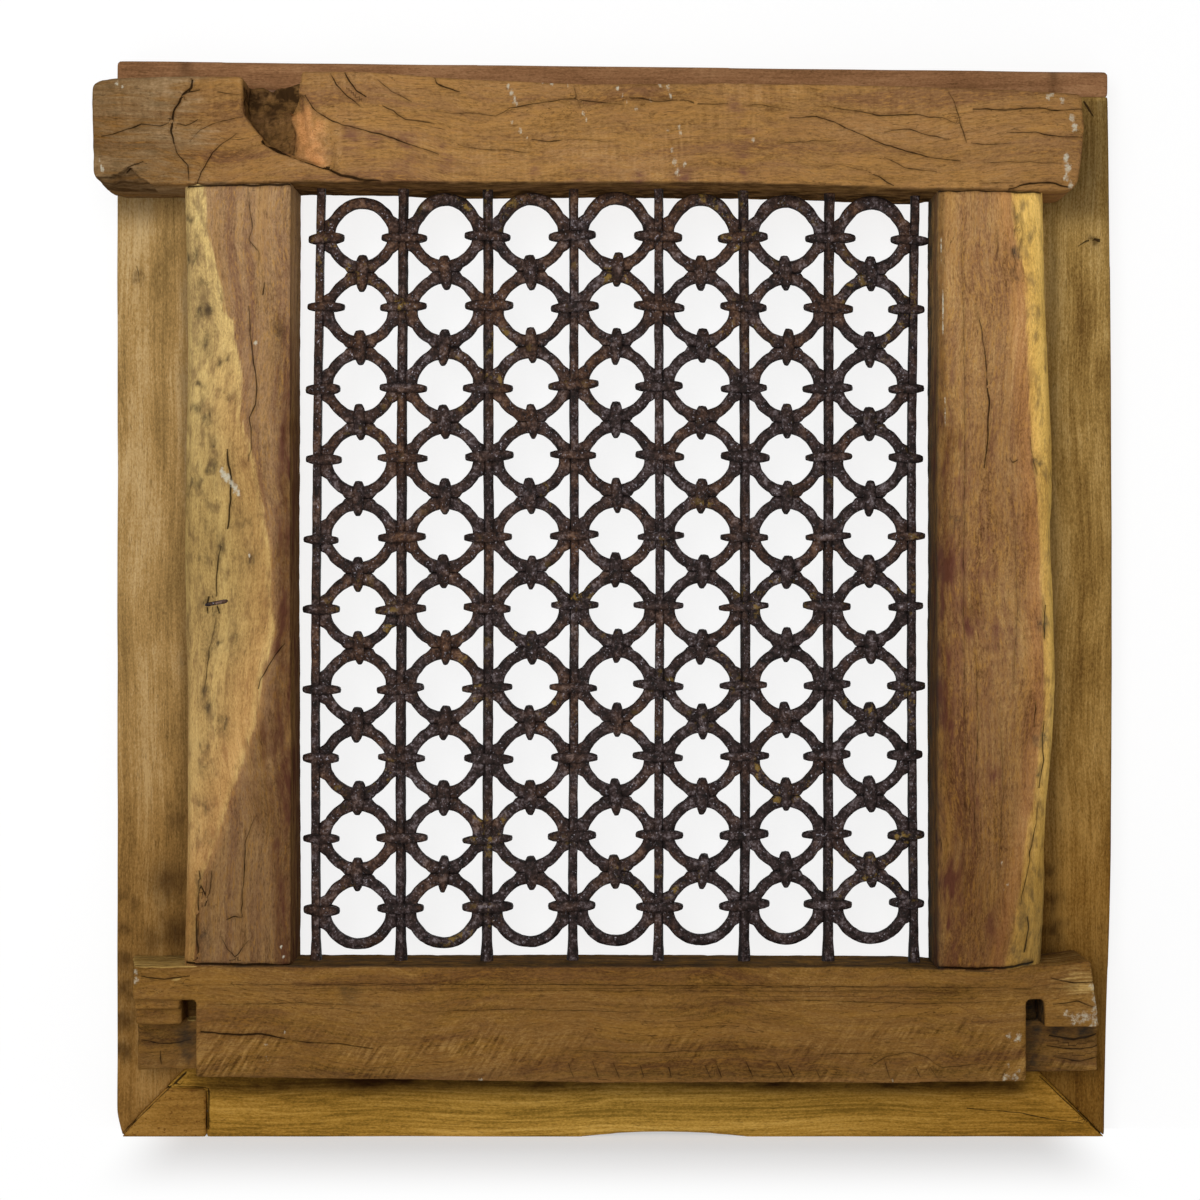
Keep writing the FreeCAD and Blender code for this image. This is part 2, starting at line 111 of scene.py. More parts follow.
def noise(points, size, seed=0, octaves=1):
    """Smooth noise from about -1 to 1, with lumps of the given size along x, y and z."""
    total = np.zeros(len(points))
    for octave in range(octaves):
        spot = points / np.array(size) * 2 ** octave + 17.3 * octave
        cell = np.floor(spot).astype(np.int64)
        part = spot - cell
        part = part * part * (3 - 2 * part)
        for corner in range(8):
            step = np.array([corner & 1, corner >> 1 & 1, corner >> 2 & 1])
            weight = np.prod(np.where(step, part, 1 - part), axis=1)
            total += weight * hashed(cell + step, seed + octave) * 0.55 ** octave
    return total


def fade(value, start, end):
    """0 before start, 1 after end, smooth between; start may be the larger."""
    part = np.clip((value - start) / (end - start), 0, 1)
    return part * part * (3 - 2 * part)


def by_table(value, table):
    """What a table of places and levels says for each value, with straight lines between its rows."""
    places, levels = zip(*table)
    return np.interp(value, places, levels)


# Meshes

def loose_object(name, mesh):
    obj = bpy.data.objects.new(name, mesh)
    bpy.context.scene.collection.objects.link(obj)
    return obj


def solid_between(rings):
    """A closed mesh through rings of points, all of the same count."""
    shape = bmesh.new()
    rows = [[shape.verts.new(Vector(point) * MM) for point in ring] for ring in rings]
    shape.faces.new(rows[0])
    shape.faces.new(rows[-1])
    for row, following in zip(rows, rows[1:]):
        for here in range(len(row)):
            shape.faces.new((row[here - 1], row[here], following[here], following[here - 1]))
    bmesh.ops.triangulate(shape, faces=shape.faces[:])
    bmesh.ops.recalc_face_normals(shape, faces=shape.faces[:])
    mesh = bpy.data.meshes.new("blank")
    shape.to_mesh(mesh)
    shape.free()
    return loose_object("blank", mesh)


def plank(outline, near, far):
    """A solid with an (x, z) outline from one plane of y to another; far may differ from point to point."""
    depth = np.broadcast_to(far, len(outline))
    return solid_between([[(x, near, z) for x, z in outline],
                          [(x, y, z) for (x, z), y in zip(outline, depth)]])


def evaluated(obj):
    """A plain mesh of the object with its modifiers worked in, and the object removed."""
    depsgraph = bpy.context.evaluated_depsgraph_get()
    mesh = bpy.data.meshes.new_from_object(obj.evaluated_get(depsgraph))
    bpy.data.objects.remove(obj)
    return mesh


def carved(blank, cutters, voxel):
    """The blank less the cutters, as a mesh of even small faces."""
    for cutter in cutters:
        cut = blank.modifiers.new("cut", "BOOLEAN")
        cut.operation = "DIFFERENCE"
        cut.solver = "EXACT"
        cut.object = cutter
    even = blank.modifiers.new("even", "REMESH")
    even.mode = "VOXEL"
    even.voxel_size = voxel * MM
    mesh = evaluated(blank)
    for cutter in cutters:
        bpy.data.objects.remove(cutter)
    return mesh


def points_of(mesh):
    flat = np.empty(len(mesh.vertices) * 3, dtype=np.float32)
    mesh.vertices.foreach_get("co", flat)
    return flat.reshape(-1, 3).astype(float) / MM


def normals_of(mesh, points):
    mesh.vertices.foreach_set("co", (points * MM).astype(np.float32).ravel())
    mesh.update()
    flat = np.empty(len(mesh.vertices) * 3, dtype=np.float32)
    mesh.vertices.foreach_get("normal", flat)
    return flat.reshape(-1, 3).astype(float)


def worn_smooth(mesh, points, passes, share):
    """Points drawn towards their neighbours, which rounds edges; share is how far, for each point."""
    ends = np.empty(len(mesh.edges) * 2, dtype=np.int32)
    mesh.edges.foreach_get("vertices", ends)
    one, other = ends.reshape(-1, 2).T
    count = np.bincount(ends, minlength=len(points))[:, None]
    for turn in range(passes):
        total = np.zeros_like(points)
        for axis in range(3):
            total[:, axis] = np.bincount(one, points[other, axis], len(points))
            total[:, axis] += np.bincount(other, points[one, axis], len(points))
        points = points + (total / count - points) * share[:, None]
    return points


def give_marks(mesh, name, *columns):
    """Keeps up to three numbers for each point, for the finish to read."""
    layer = mesh.attributes.new(name, "FLOAT_VECTOR", "POINT")
    values = np.zeros((len(mesh.vertices), 3), dtype=np.float32)
    for axis, column in enumerate(columns):
        values[:, axis] = column
    layer.data.foreach_set("vector", values.ravel())


def place_piece(name, mesh, finish, slot, *nodes):
    """Puts a finished mesh in the model, in place of its CAD nodes."""
    mesh.name = name
    mesh.materials.clear()
    mesh.materials.append(finish)
    mesh.polygons.foreach_set("use_smooth", [True] * len(mesh.polygons))
    piece = loose_object(name + "_look", mesh)
    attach(piece, BODY)
    if nodes:
        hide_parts(*nodes)
    return piece


# Splits and stains, placed where the photograph shows them

NO_SPLIT = -30.0
SPLIT_REACH = 5.0


def nearest_split(points, splits, plane, wander_seed, wander=1.1):
    """Signed distance to the nearest split line, and that line's half width there, for each point."""
    spot = points[:, [0, 2]].copy()
    spot[:, 0] += wander * noise(points, (13, 40, 13), wander_seed, 2)
    spot[:, 1] += wander * noise(points, (13, 40, 13), wander_seed + 5, 2)
    ragged = 0.25 * noise(points, (7, 40, 7), wander_seed + 9, 2)
    best = np.full(len(points), 99.0)
    signed = np.full(len(points), 99.0)
    width = np.full(len(points), NO_SPLIT)
    for half_width, pixels in splits:
        line = line_from_photo(pixels, plane)
        lengths = np.linalg.norm(np.diff(line, axis=0), axis=1)
        run = np.concatenate([[0], np.cumsum(lengths)])
        for index, (start, length) in enumerate(zip(line, lengths)):
            along = (line[index + 1] - start) / length
            offset = spot - start
            reach = offset @ along
            held = np.clip(reach, 0, length)
            side = offset[:, 0] * along[1] - offset[:, 1] * along[0]
            gap = np.linalg.norm(offset - held[:, None] * along, axis=1)
            share = (run[index] + held) / run[-1]
            here = half_width - 0.3 * np.abs(2 * share - 1) ** 3 + ragged
            before_start = (index == 0) & (reach < 0)
            past_end = (index == len(lengths) - 1) & (reach > length)
            here = np.where(before_start | past_end | (gap > SPLIT_REACH), NO_SPLIT, here)
            nearer = gap < best
            best = np.where(nearer, gap, best)
            signed = np.where(nearer, np.where(side < 0, -gap, gap), signed)
            width = np.where(nearer, here, width)
    return signed, width


def spots_mask(points, spots, plane, ragged=2.0, stretch=1.0, seed=0):
    """How strongly each point is marked by spots, each given as pixel x, y and radius. Their edges stray by
    the ragged millimetres, and they are drawn out along z by the stretch."""
    across = points[:, 0] + ragged * noise(points, (5, 9, 8), seed + 1, 2)
    up = points[:, 2] + ragged * noise(points, (5, 9, 8), seed + 2, 2)
    mask = np.zeros(len(points))
    for px, py, radius in spots:
        x, z = from_photo(px, py, plane)
        gap = np.hypot(across - x, (up - z) / stretch) / (radius * PHOTO_MM_PER_PIXEL)
        mask = np.maximum(mask, np.exp(-gap * gap))
    return mask


def inside_outline(points, outline):
    """Whether each point's (x, z) is inside an outline."""
    x, z = points[:, 0], points[:, 2]
    inside = np.zeros(len(points), dtype=bool)
    for (x0, z0), (x1, z1) in zip(outline, np.roll(outline, -1, axis=0)):
        if z0 == z1:
            continue
        crosses = (z0 > z) != (z1 > z)
        inside ^= crosses & (x < (x1 - x0) * (z - z0) / (z1 - z0) + x0)
    return inside


# Finishes

def paint(hex_colour):
    """Linear colour from an sRGB hex value."""
    channels = [int(hex_colour[i:i + 2], 16) / 255 for i in (1, 3, 5)]
    return [c / 12.92 if c <= 0.04045 else ((c + 0.055) / 1.055) ** 2.4 for c in channels] + [1]


# Settings of a Mix node that lays one colour, at input 7, over another, at input 6
COLOUR = {"out": 2, "data_type": "RGBA"}


def add(tree, kind, *inputs, out=0, stops=None, **settings):
    """Adds a node with its settings, links or values, and gives back one of its outputs. Inputs come in the
    order of the node's sockets, or by name or number in a dictionary. A shader node's kind is given without
    ShaderNode."""
    whole_name = kind.startswith(("GeometryNode", "FunctionNode", "NodeGroup"))
    node = tree.nodes.new(kind if whole_name else "ShaderNode" + kind)
    for name, value in settings.items():
        setattr(node, name, value)
    by_socket = inputs[0] if inputs and isinstance(inputs[0], dict) else dict(enumerate(inputs))
    for name, value in by_socket.items():
        if isinstance(value, bpy.types.NodeSocket):
            tree.links.new(value, node.inputs[name])
        else:
            node.inputs[name].default_value = value
    if stops:
        ramp = node.color_ramp.elements
        while len(ramp) < len(stops):
            ramp.new(0.5)
        for element, (position, colour) in zip(ramp, stops):
            element.position = position
            element.color = paint(colour)
    return node.outputs[out] if len(node.outputs) else node


def new_finish(name):
    finish = bpy.data.materials.new(name)
    finish.use_nodes = True
    return finish, finish.node_tree, finish.node_tree.nodes["Principled BSDF"]


def grain_scale(along, length, width):
    """Pattern scale per millimetre, for grain that runs along x or z."""
    return tuple(1 / (length if axis == along else width) for axis in "XYZ")


def marks_of(tree, name):
    """The three numbers that give_marks kept under a name."""
    marks = add(tree, "Attribute", out="Vector", attribute_name=name)
    return add(tree, "SeparateXYZ", marks, out="X").node.outputs


def grain_patterns(tree, place, along, sway_length, sway_detail, sway_by, sorts):
    """Noise drawn out along the grain, by label, length, width and detail. The grain sways a little."""
    sway = add(tree, "TexNoise", {"Vector": place, "Scale": 1 / sway_length, "Detail": sway_detail},
               out="Color")
    sway = add(tree, "VectorMath", sway, (0.5, 0.5, 0.5), operation="SUBTRACT")
    swayed = add(tree, "VectorMath", sway, (sway_by,) * 3, place, operation="MULTIPLY_ADD")
    patterns = {}
    for label, length, width, detail in sorts:
        scaled = add(tree, "Mapping", {"Vector": swayed, "Scale": grain_scale(along, length, width)})
        patterns[label] = add(tree, "TexNoise", {"Vector": scaled, "Scale": 1, "Detail": detail,
                                                 "Roughness": 0.6})
    return patterns


def rays_seen(tree):
    """1 for what is seen directly, mirrored or through something clear, and 0 for light cast on things."""
    rays = add(tree, "LightPath", out="Is Camera Ray").node.outputs
    seen = add(tree, "Math", rays["Is Camera Ray"], rays["Is Glossy Ray"], operation="MAXIMUM")
    return add(tree, "Math", seen, rays["Is Transmission Ray"], operation="MAXIMUM")


def aged_teak(name, along, shift, heart, hues, sap, saw_turn, saw_spacing, saw_length, saw_depth):
    """Hewn and sawn teak, oiled and handled for generations: brown heartwood in soft streaks that lean to
    orange or to purple, with open pores; yellower smudged sapwood on waney edges; faint saw marks across the
    grain and fine checks along it. It is dry and has no sheen left. The hues are that orange and purple, the
    sapwood's smudges, and a dark brown for soiling in dents that also paints shade on sides turned from the
    light."""
    finish, tree, surface = new_finish(name)
    spot = add(tree, "TexCoord", out="Object")
    place = add(tree, "Mapping", {"Vector": spot, "Location": shift, "Scale": (1000, 1000, 1000)})

    patterns = grain_patterns(tree, place, along, 150, 1.5, 40, (
        ("bands", 420, 19, 3), ("streaks", 110, 2.6, 4), ("flecks", 24, 6, 4), ("pores", 8, 0.9, 2),
        ("checks", 75, 6, 3), ("mottle", 95, 24, 4), ("clouds", 190, 85, 2), ("speckle", 2.6, 1.4, 2),
        ("stipple", 8, 1.8, 3), ("smudge", 19, 8, 4)))
    split = marks_of(tree, "split")
    # Saw marks: strokes across the grain, left in patches and where the mark beside the splits says so
    turned = add(tree, "Mapping", {"Vector": place, "Rotation": (0, saw_turn, 0)})
    turned = add(tree, "Mapping", {"Vector": turned, "Scale": (1 / saw_spacing, 1 / 60, 1 / saw_length)})
    saw = add(tree, "TexNoise", {"Vector": turned, "Scale": 1, "Detail": 2.5})
    sawn = add(tree, "MapRange", patterns["clouds"], 0.38, 0.6, 0, saw_depth)
    saw = add(tree, "Math", saw, 0.5, operation="SUBTRACT")
    saw = add(tree, "Math", saw, sawn, operation="MULTIPLY")
    saw = add(tree, "Math", saw, split["Z"], operation="MULTIPLY")

    tone = saw
    for label, weight in (("streaks", 0.18), ("bands", 0.18), ("mottle", 0.24), ("clouds", 0.18),
                          ("speckle", 0.22)):
        tone = add(tree, "Math", patterns[label], weight, tone, operation="MULTIPLY_ADD")
    heartwood = add(tree, "ValToRGB", tone, stops=list(zip((0.405, 0.47, 0.53, 0.6), heart)))
    sapwood = add(tree, "ValToRGB", tone, stops=list(zip((0.405, 0.5, 0.595), sap)))

    stain_and_shading = marks_of(tree, "stain_and_shading")
    tint = marks_of(tree, "tint")
    orange, purple, smudged, grime_and_shade = hues
    for hue, start, end, most in ((orange, 0.5, 0.64, 0.45), (purple, 0.5, 0.36, 0.38)):
        lean = add(tree, "MapRange", patterns["bands"], start, end, 0, most)
        heartwood = add(tree, "Mix", {0: lean, 6: heartwood, 7: paint(hue)}, **COLOUR)
    warm = add(tree, "MapRange", patterns["stipple"], 0.48, 0.34, 0, 0.75)
    heartwood = add(tree, "Mix", {0: warm, 6: heartwood, 7: paint(orange)}, **COLOUR)
    bloom = add(tree, "Math", patterns["flecks"], 0.8, patterns["mottle"], operation="MULTIPLY_ADD")
    bloom = add(tree, "MapRange", bloom, 0.78, 1.06)
    bloom = add(tree, "Math", bloom, tint["Y"], operation="MULTIPLY")
    heartwood = add(tree, "Mix", {0: bloom, 6: heartwood, 7: paint(purple)}, **COLOUR)
    dots = add(tree, "MapRange", patterns["stipple"], 0.56, 0.7, 0, 0.42)
    heartwood = add(tree, "Mix", {0: dots, 6: heartwood, 7: paint("#4b2f1a")}, **COLOUR)
    smudge = add(tree, "MapRange", patterns["smudge"], 0.5, 0.68, 0, 0.7)
    sapwood = add(tree, "Mix", {0: smudge, 6: sapwood, 7: paint(smudged)}, **COLOUR)
    edge = add(tree, "Math", patterns["mottle"], 0.9, stain_and_shading["X"], operation="MULTIPLY_ADD")
    edge = add(tree, "Math", patterns["streaks"], 0.6, edge, operation="MULTIPLY_ADD")
    edge = add(tree, "MapRange", edge, 1.1, 1.42, interpolation_type="SMOOTHSTEP")
    colour = add(tree, "Mix", {0: edge, 6: heartwood, 7: sapwood}, **COLOUR)

    # Wood laid bare where a piece split away, still orange
    bare = add(tree, "ValToRGB", tone, stops=((0.39, "#966638"), (0.5, "#c38a55"), (0.61, "#dca56f")))
    colour = add(tree, "Mix", {0: tint["X"], 6: colour, 7: bare}, **COLOUR)

    # Pores are 0.3 mm wide in teak; they are drawn three times as wide, so that they show
    pore = add(tree, "MapRange", patterns["pores"], 0.42, 0.3, 0, 0.4)
    colour = add(tree, "Mix", {0: pore, 6: colour, 7: paint("#3a2510")}, **COLOUR)

    # Fine checks: the narrow places where the noise passes its middle, in patches
    check = add(tree, "Math", patterns["checks"], 0.5, operation="SUBTRACT")
    check = add(tree, "Math", check, operation="ABSOLUTE")
    check = add(tree, "MapRange", check, 0.01, 0.002)
    patch = add(tree, "MapRange", patterns["bands"], 0.53, 0.66, 0, 0.6)
    check = add(tree, "Math", check, patch, operation="MULTIPLY")

    # Splits, drawn from the distance to their lines
    gap = add(tree, "Math", split["X"], operation="ABSOLUTE")
    gap = add(tree, "Math", gap, split["Y"], operation="SUBTRACT")
    opened = add(tree, "MapRange", gap, 0.32, -0.35, 0, 0.92)
    dirt_by_split = add(tree, "MapRange", gap, 3, 0, 0, 0.24)
    colour = add(tree, "Mix", {0: dirt_by_split, 6: colour, 7: paint("#3c2612")}, **COLOUR)
    opened = add(tree, "Math", opened, check, operation="MAXIMUM")
    colour = add(tree, "Mix", {0: opened, 6: colour, 7: paint("#1e1309")}, **COLOUR)

    # Deepening of the brown, which along the right stile's inner arris is painted shade; grime in dents, and
    # painted shade on sides turned from the light; then flakes of old limewash
    colour = add(tree, "Mix", {0: tint["Z"], 6: colour, 7: paint("#bcb3a4")}, **COLOUR, blend_type="MULTIPLY")
    dirt_and_shade = add(tree, "MapRange", patterns["smudge"], 0.36, 0.62, 0.45, 1.15)
    dirt_and_shade = add(tree, "Math", dirt_and_shade, stain_and_shading["Y"], operation="MULTIPLY", use_clamp=True)
    colour = add(tree, "Mix", {0: dirt_and_shade, 6: colour, 7: paint(grime_and_shade)}, **COLOUR)
    flake = add(tree, "TexNoise", {"Vector": place, "Scale": 1 / 3.2, "Detail": 4, "Roughness": 0.7})
    flake = add(tree, "Math", flake, stain_and_shading["Z"], operation="MULTIPLY")
    flake = add(tree, "MapRange", flake, 0.32, 0.53, 0, 0.82)
    colour = add(tree, "Mix", {0: flake, 6: colour, 7: paint("#bab4a0")}, **COLOUR)
    tree.links.new(colour, surface.inputs["Base Color"])

    dull = add(tree, "MapRange", patterns["streaks"], 0, 1, 0.55, 0.8)
    tree.links.new(dull, surface.inputs["Roughness"])
    surface.inputs["IOR"].default_value = 1.45
    surface.inputs["Specular IOR Level"].default_value = 0
    relief = add(tree, "Math", patterns["speckle"], 0.6, patterns["streaks"], operation="MULTIPLY_ADD")
    relief = add(tree, "Math", saw, 2, relief, operation="MULTIPLY_ADD")
    relief = add(tree, "Math", opened, -1.5, relief, operation="MULTIPLY_ADD")
    bump = add(tree, "Bump", {"Height": relief, "Strength": 0.6, "Distance": 0.0009})
    tree.links.new(bump, surface.inputs["Normal"])
    return finish


def planed_board(name, along, shift, colours, freckles=0.0, streaks=0.22):
    """Planed hardwood board, oiled and grown dull: even brown with soft broad patches, close fine grain and
    many small pores. Freckles are dark red-brown dots, a few millimetres apart; more streaks leave less of
    the patches."""
    finish, tree, surface = new_finish(name)
    spot = add(tree, "TexCoord", out="Object")
    place = add(tree, "Mapping", {"Vector": spot, "Location": shift, "Scale": (1000, 1000, 1000)})
    patterns = grain_patterns(tree, place, along, 200, 1, 22, (
        ("bands", 500, 24, 3), ("streaks", 130, 2.2, 4), ("pores", 8, 0.9, 2), ("mottle", 95, 38, 4),
        ("speckle", 2.6, 1.4, 2), ("dots", 5, 3, 2)))
    tone = add(tree, "Math", patterns["streaks"], streaks, operation="MULTIPLY")
    for label, weight in (("bands", 0.26), ("mottle", 0.52 - streaks), ("speckle", 0.22)):
        tone = add(tree, "Math", patterns[label], weight, tone, operation="MULTIPLY_ADD")
    colour = add(tree, "ValToRGB", tone, stops=list(zip((0.41, 0.5, 0.59), colours)))
    # Pores are drawn about three times as wide as they are, so that they show
    pore = add(tree, "MapRange", patterns["pores"], 0.44, 0.3, 0, 0.45)
    colour = add(tree, "Mix", {0: pore, 6: colour, 7: paint("#3b280f")}, **COLOUR)
    dots = add(tree, "MapRange", patterns["dots"], 0.6, 0.68, 0, freckles)
    colour = add(tree, "Mix", {0: dots, 6: colour, 7: paint("#55300f")}, **COLOUR)
    split = marks_of(tree, "split")
    gap = add(tree, "Math", split["X"], operation="ABSOLUTE")
    gap = add(tree, "Math", gap, split["Y"], operation="SUBTRACT")
    opened = add(tree, "MapRange", gap, 0.35, -0.25, 0, 0.9)
    colour = add(tree, "Mix", {0: opened, 6: colour, 7: paint("#1f150b")}, **COLOUR)

    # Deepening of the brown, then grime, which also paints the shadows beside the stiles and under the sill
    # and the lintel
    stain_and_shading = marks_of(tree, "stain_and_shading")
    colour = add(tree, "Mix", {0: stain_and_shading["X"], 6: colour, 7: paint("#c8af81")}, **COLOUR,
                 blend_type="MULTIPLY")
    dirt_and_shade = add(tree, "MapRange", patterns["mottle"], 0.36, 0.62, 0.5, 1.1)
    dirt_and_shade = add(tree, "Math", dirt_and_shade, stain_and_shading["Y"], operation="MULTIPLY", use_clamp=True)
    colour = add(tree, "Mix", {0: dirt_and_shade, 6: colour, 7: paint("#2a1604")}, **COLOUR)
    tree.links.new(colour, surface.inputs["Base Color"])
    dull = add(tree, "MapRange", patterns["streaks"], 0, 1, 0.5, 0.75)
    tree.links.new(dull, surface.inputs["Roughness"])
    surface.inputs["IOR"].default_value = 1.45
    surface.inputs["Specular IOR Level"].default_value = 0.03
    relief = add(tree, "Math", patterns["pores"], 0.5, patterns["streaks"], operation="MULTIPLY_ADD")
    bump = add(tree, "Bump", {"Height": relief, "Strength": 0.35, "Distance": 0.0005})
    tree.links.new(bump, surface.inputs["Normal"])
    return finish


def rusted_iron(name):
    """Forged iron under old brown rust: dark scale with a violet cast in its pits, sides painted darker as
    shade, a browner front and back, rust that lies in blotches, and worn grey specks that glint."""
    finish, tree, surface = new_finish(name)
    spot = add(tree, "TexCoord", out="Object")
    place = add(tree, "Mapping", {"Vector": spot, "Scale": (1000, 1000, 1000)})
    # Rust lies in blotches of about 40 mm, with pits of 3 mm; true pits are half that size
    patterns = {}
    for label, size, detail in (("blotch", 40, 3), ("pits", 2.6, 4), ("lumps", 8, 3), ("grit", 9, 4),
                                ("specks", 2.2, 3), ("places", 75, 1)):
        patterns[label] = add(tree, "TexNoise", {"Vector": place, "Scale": 1 / size, "Detail": detail,
                                                 "Roughness": 0.66})
    scale = add(tree, "Mix", {0: 0.55, 2: patterns["pits"], 3: patterns["lumps"]})
    skin = add(tree, "ValToRGB", scale,
               stops=((0.37, "#0b0605"), (0.46, "#1e1411"), (0.54, "#352826"), (0.64, "#6c6263")))
    brown = add(tree, "ValToRGB", scale, stops=((0.37, "#140a06"), (0.5, "#40291b"), (0.63, "#6d4e34")))
    # The upper left of the lattice is rustier than the rest
    corner = add(tree, "VectorMath", place, (-0.00022, 0, 0.0002), out="Value", operation="DOT_PRODUCT")
    rust = add(tree, "Math", patterns["blotch"], corner, operation="ADD")
    rust = add(tree, "MapRange", rust, 0.56, 0.8, 0, 0.85)
    colour = add(tree, "Mix", {0: rust, 6: skin, 7: brown}, **COLOUR)
    # Ochre lies here and there, where rust has dried
    grit = add(tree, "MapRange", patterns["grit"], 0.56, 0.66, 0, 0.75)
    dried = add(tree, "MapRange", patterns["places"], 0.54, 0.64)
    grit = add(tree, "Math", grit, dried, operation="MULTIPLY")
    colour = add(tree, "Mix", {0: grit, 6: colour, 7: paint("#83682f")}, **COLOUR)

    # The sides are painted dark as shade; faces to the front and back keep the rust colours and the worn
    # specks
    normal = add(tree, "NewGeometry", out="Normal")
    facing = add(tree, "SeparateXYZ", normal, out="Y")
    facing = add(tree, "Math", facing, operation="ABSOLUTE")
    facing = add(tree, "MapRange", facing, 0.3, 0.9)
    colour = add(tree, "Mix", {0: facing, 6: paint("#0c0706"), 7: colour}, **COLOUR)
    worn = add(tree, "MapRange", patterns["specks"], 0.61, 0.69, 0, 0.85)
    worn = add(tree, "Math", worn, facing, operation="MULTIPLY")
    colour = add(tree, "Mix", {0: worn, 6: colour, 7: paint("#868085")}, **COLOUR)
    tree.links.new(colour, surface.inputs["Base Color"])
    bright = add(tree, "Math", worn, 0.8, operation="MULTIPLY")
    tree.links.new(bright, surface.inputs["Metallic"])
    dull = add(tree, "MapRange", worn, 0, 1, 0.75, 0.38)
    tree.links.new(dull, surface.inputs["Roughness"])
    surface.inputs["Specular IOR Level"].default_value = 0.16
    bump = add(tree, "Bump", {"Height": scale, "Strength": 0.8, "Distance": 0.0016})
    tree.links.new(bump, surface.inputs["Normal"])
    return finish


def zinc_plated_steel(name):
    """Zinc-plated steel screws and nails gone dull: grey metal with faint yellow and dark spots."""
    finish, tree, surface = new_finish(name)
    spot = add(tree, "TexCoord", out="Object")
    blotch = add(tree, "TexNoise", {"Vector": spot, "Scale": 1000 / 2.5, "Detail": 3})
    colour = add(tree, "ValToRGB", blotch, stops=((0.3, "#4d4a45"), (0.5, "#8d8a82"), (0.7, "#aca592")))
    tree.links.new(colour, surface.inputs["Base Color"])
    dull = add(tree, "MapRange", blotch, 0, 1, 0.6, 0.3)
    tree.links.new(dull, surface.inputs["Roughness"])
    surface.inputs["Metallic"].default_value = 1
    return finish


# Timbers of the old frame

# The last hue of each finish is for grime, and also paints shade on sides turned from the light
LINTEL_TEAK = aged_teak(
    "lintel_teak", along="X", shift=(0, 0, 0), heart=("#6b4b27", "#866339", "#997345", "#ae8858"),
    hues=("#a27640", "#6e4a3a", "#6b563a", "#3a2816"), sap=("#745d40", "#917553", "#ad916d"),
    saw_turn=0.05, saw_spacing=4, saw_length=70, saw_depth=0.35)
SILL_TEAK = aged_teak(
    "sill_teak", along="X", shift=(610, 90, 340), heart=("#4b3312", "#6c4e23", "#825f2f", "#9b7741"),
    hues=("#805a28", "#553524", "#59442a", "#352d24"), sap=("#8c6d38", "#b08f50", "#c6a768"),
    saw_turn=math.radians(-32), saw_spacing=3.2, saw_length=24, saw_depth=0.5)
LEFT_TEAK = aged_teak(
    "left_stile_teak", along="Z", shift=(200, 0, 800), heart=("#705235", "#8f704e", "#a5845e", "#ba996d"),
    hues=("#a98048", "#6c473a", "#7d6244", "#352d24"), sap=("#a08455", "#ccae70", "#e6ca86"),
    saw_turn=math.pi / 2, saw_spacing=6, saw_length=70, saw_depth=0.08)
RIGHT_TEAK = aged_teak(
    "right_stile_teak", along="Z", shift=(950, 30, 120), heart=("#664729", "#926c44", "#ad8756", "#c9a56c"),
    hues=("#b08446", "#734a3c", "#7d6540", "#363630"), sap=("#b18a46", "#d7ae5c", "#ecc36f"),
    saw_turn=math.pi / 2 + 0.1, saw_spacing=6, saw_length=70, saw_depth=0.08)

# Sizes of wear in the timbers
SPLIT_DEPTH = 2.6
SPLIT_SPREAD = 1.7
WIDEST_SPLIT = 1.4
DENT_DEPTH = 2.4


def hewn(points, mesh, seed, swell, length_axis):
    """Hewn unevenness: long swells left by the adze, and short lumps."""
    normals = normals_of(mesh, points)
    long_way = [70.0, 70.0, 70.0]
    long_way[length_axis] = 190.0
    depth = swell * noise(points, long_way, seed, 2)
    depth += 0.3 * noise(points, (9, 9, 9), seed + 31, 2)
    return points + normals * depth[:, None]


def grooved(mesh, points, signed, width):
    """Splits opened into the surface."""
    normals = normals_of(mesh, points)
    open_share = np.clip(width, 0, WIDEST_SPLIT) / WIDEST_SPLIT
    depth = SPLIT_DEPTH * open_share * np.exp(-(signed / SPLIT_SPREAD) ** 2)
    return points - normals * depth[:, None]


LINTEL_TOP = (
    (92, 92), (94, 84), (100, 80.5), (118, 78.5), (180, 77), (240, 77), (270, 75), (300, 71.6), (350, 70.5),
    (400, 73.5), (450, 77), (500, 79), (550, 81), (600, 82.5), (700, 82), (800, 83), (900, 85.7),
    (1000, 88.8), (1040, 91), (1078, 93), (1083, 97),
)
LINTEL_UNDER = (
    (1084, 130), (1080, 165), (1077, 184), (1070, 189.5), (1040, 190), (1010, 190), (960, 189), (900, 188),
    (800, 184.5), (700, 182.5), (500, 183), (300, 181.5), (185, 184), (150, 184), (110, 184), (97, 181),
    (92, 172),
)
# Rotten hollow and the scoop beside it: pixel x, y and how many millimetres deep
HOLLOW = (
    (242, 60, 46), (242, 100, 46), (243, 114, 44), (248, 121, 44), (257, 132, 42), (266, 143, 38),
    (279, 150, 34), (293, 154, 24), (292, 140, 30), (294, 128, 34), (288, 115, 42), (297, 98, 44),
    (301, 80, 46), (303, 60, 46),
)
HOLLOW_DEPTH = 46.0
HOLLOW_MIDDLE = ((258, 95, 34), (272, 130, 34))
HOLLOW_BACK = ((243, 60), (244, 86), (252, 90), (262, 87), (272, 92), (283, 88), (292, 86), (299, 83),
               (302, 60))
SCOOP = ((290, 112, 26), (297, 94, 14), (304, 96, 4), (312, 107, 1), (321, 115, 0.5), (334, 123, -2),
         (338, 140, -2), (344, 160, -2), (346, 176, -2), (330, 168, 8), (310, 161, 15), (295, 156, 20),
         (286, 152, 26), (288, 130, 30))
LINTEL_CHIP = ((80, 177), (112, 176.5), (123, 172.5), (128, 168), (134, 172), (140, 178), (150, 184),
               (150, 210), (80, 210))
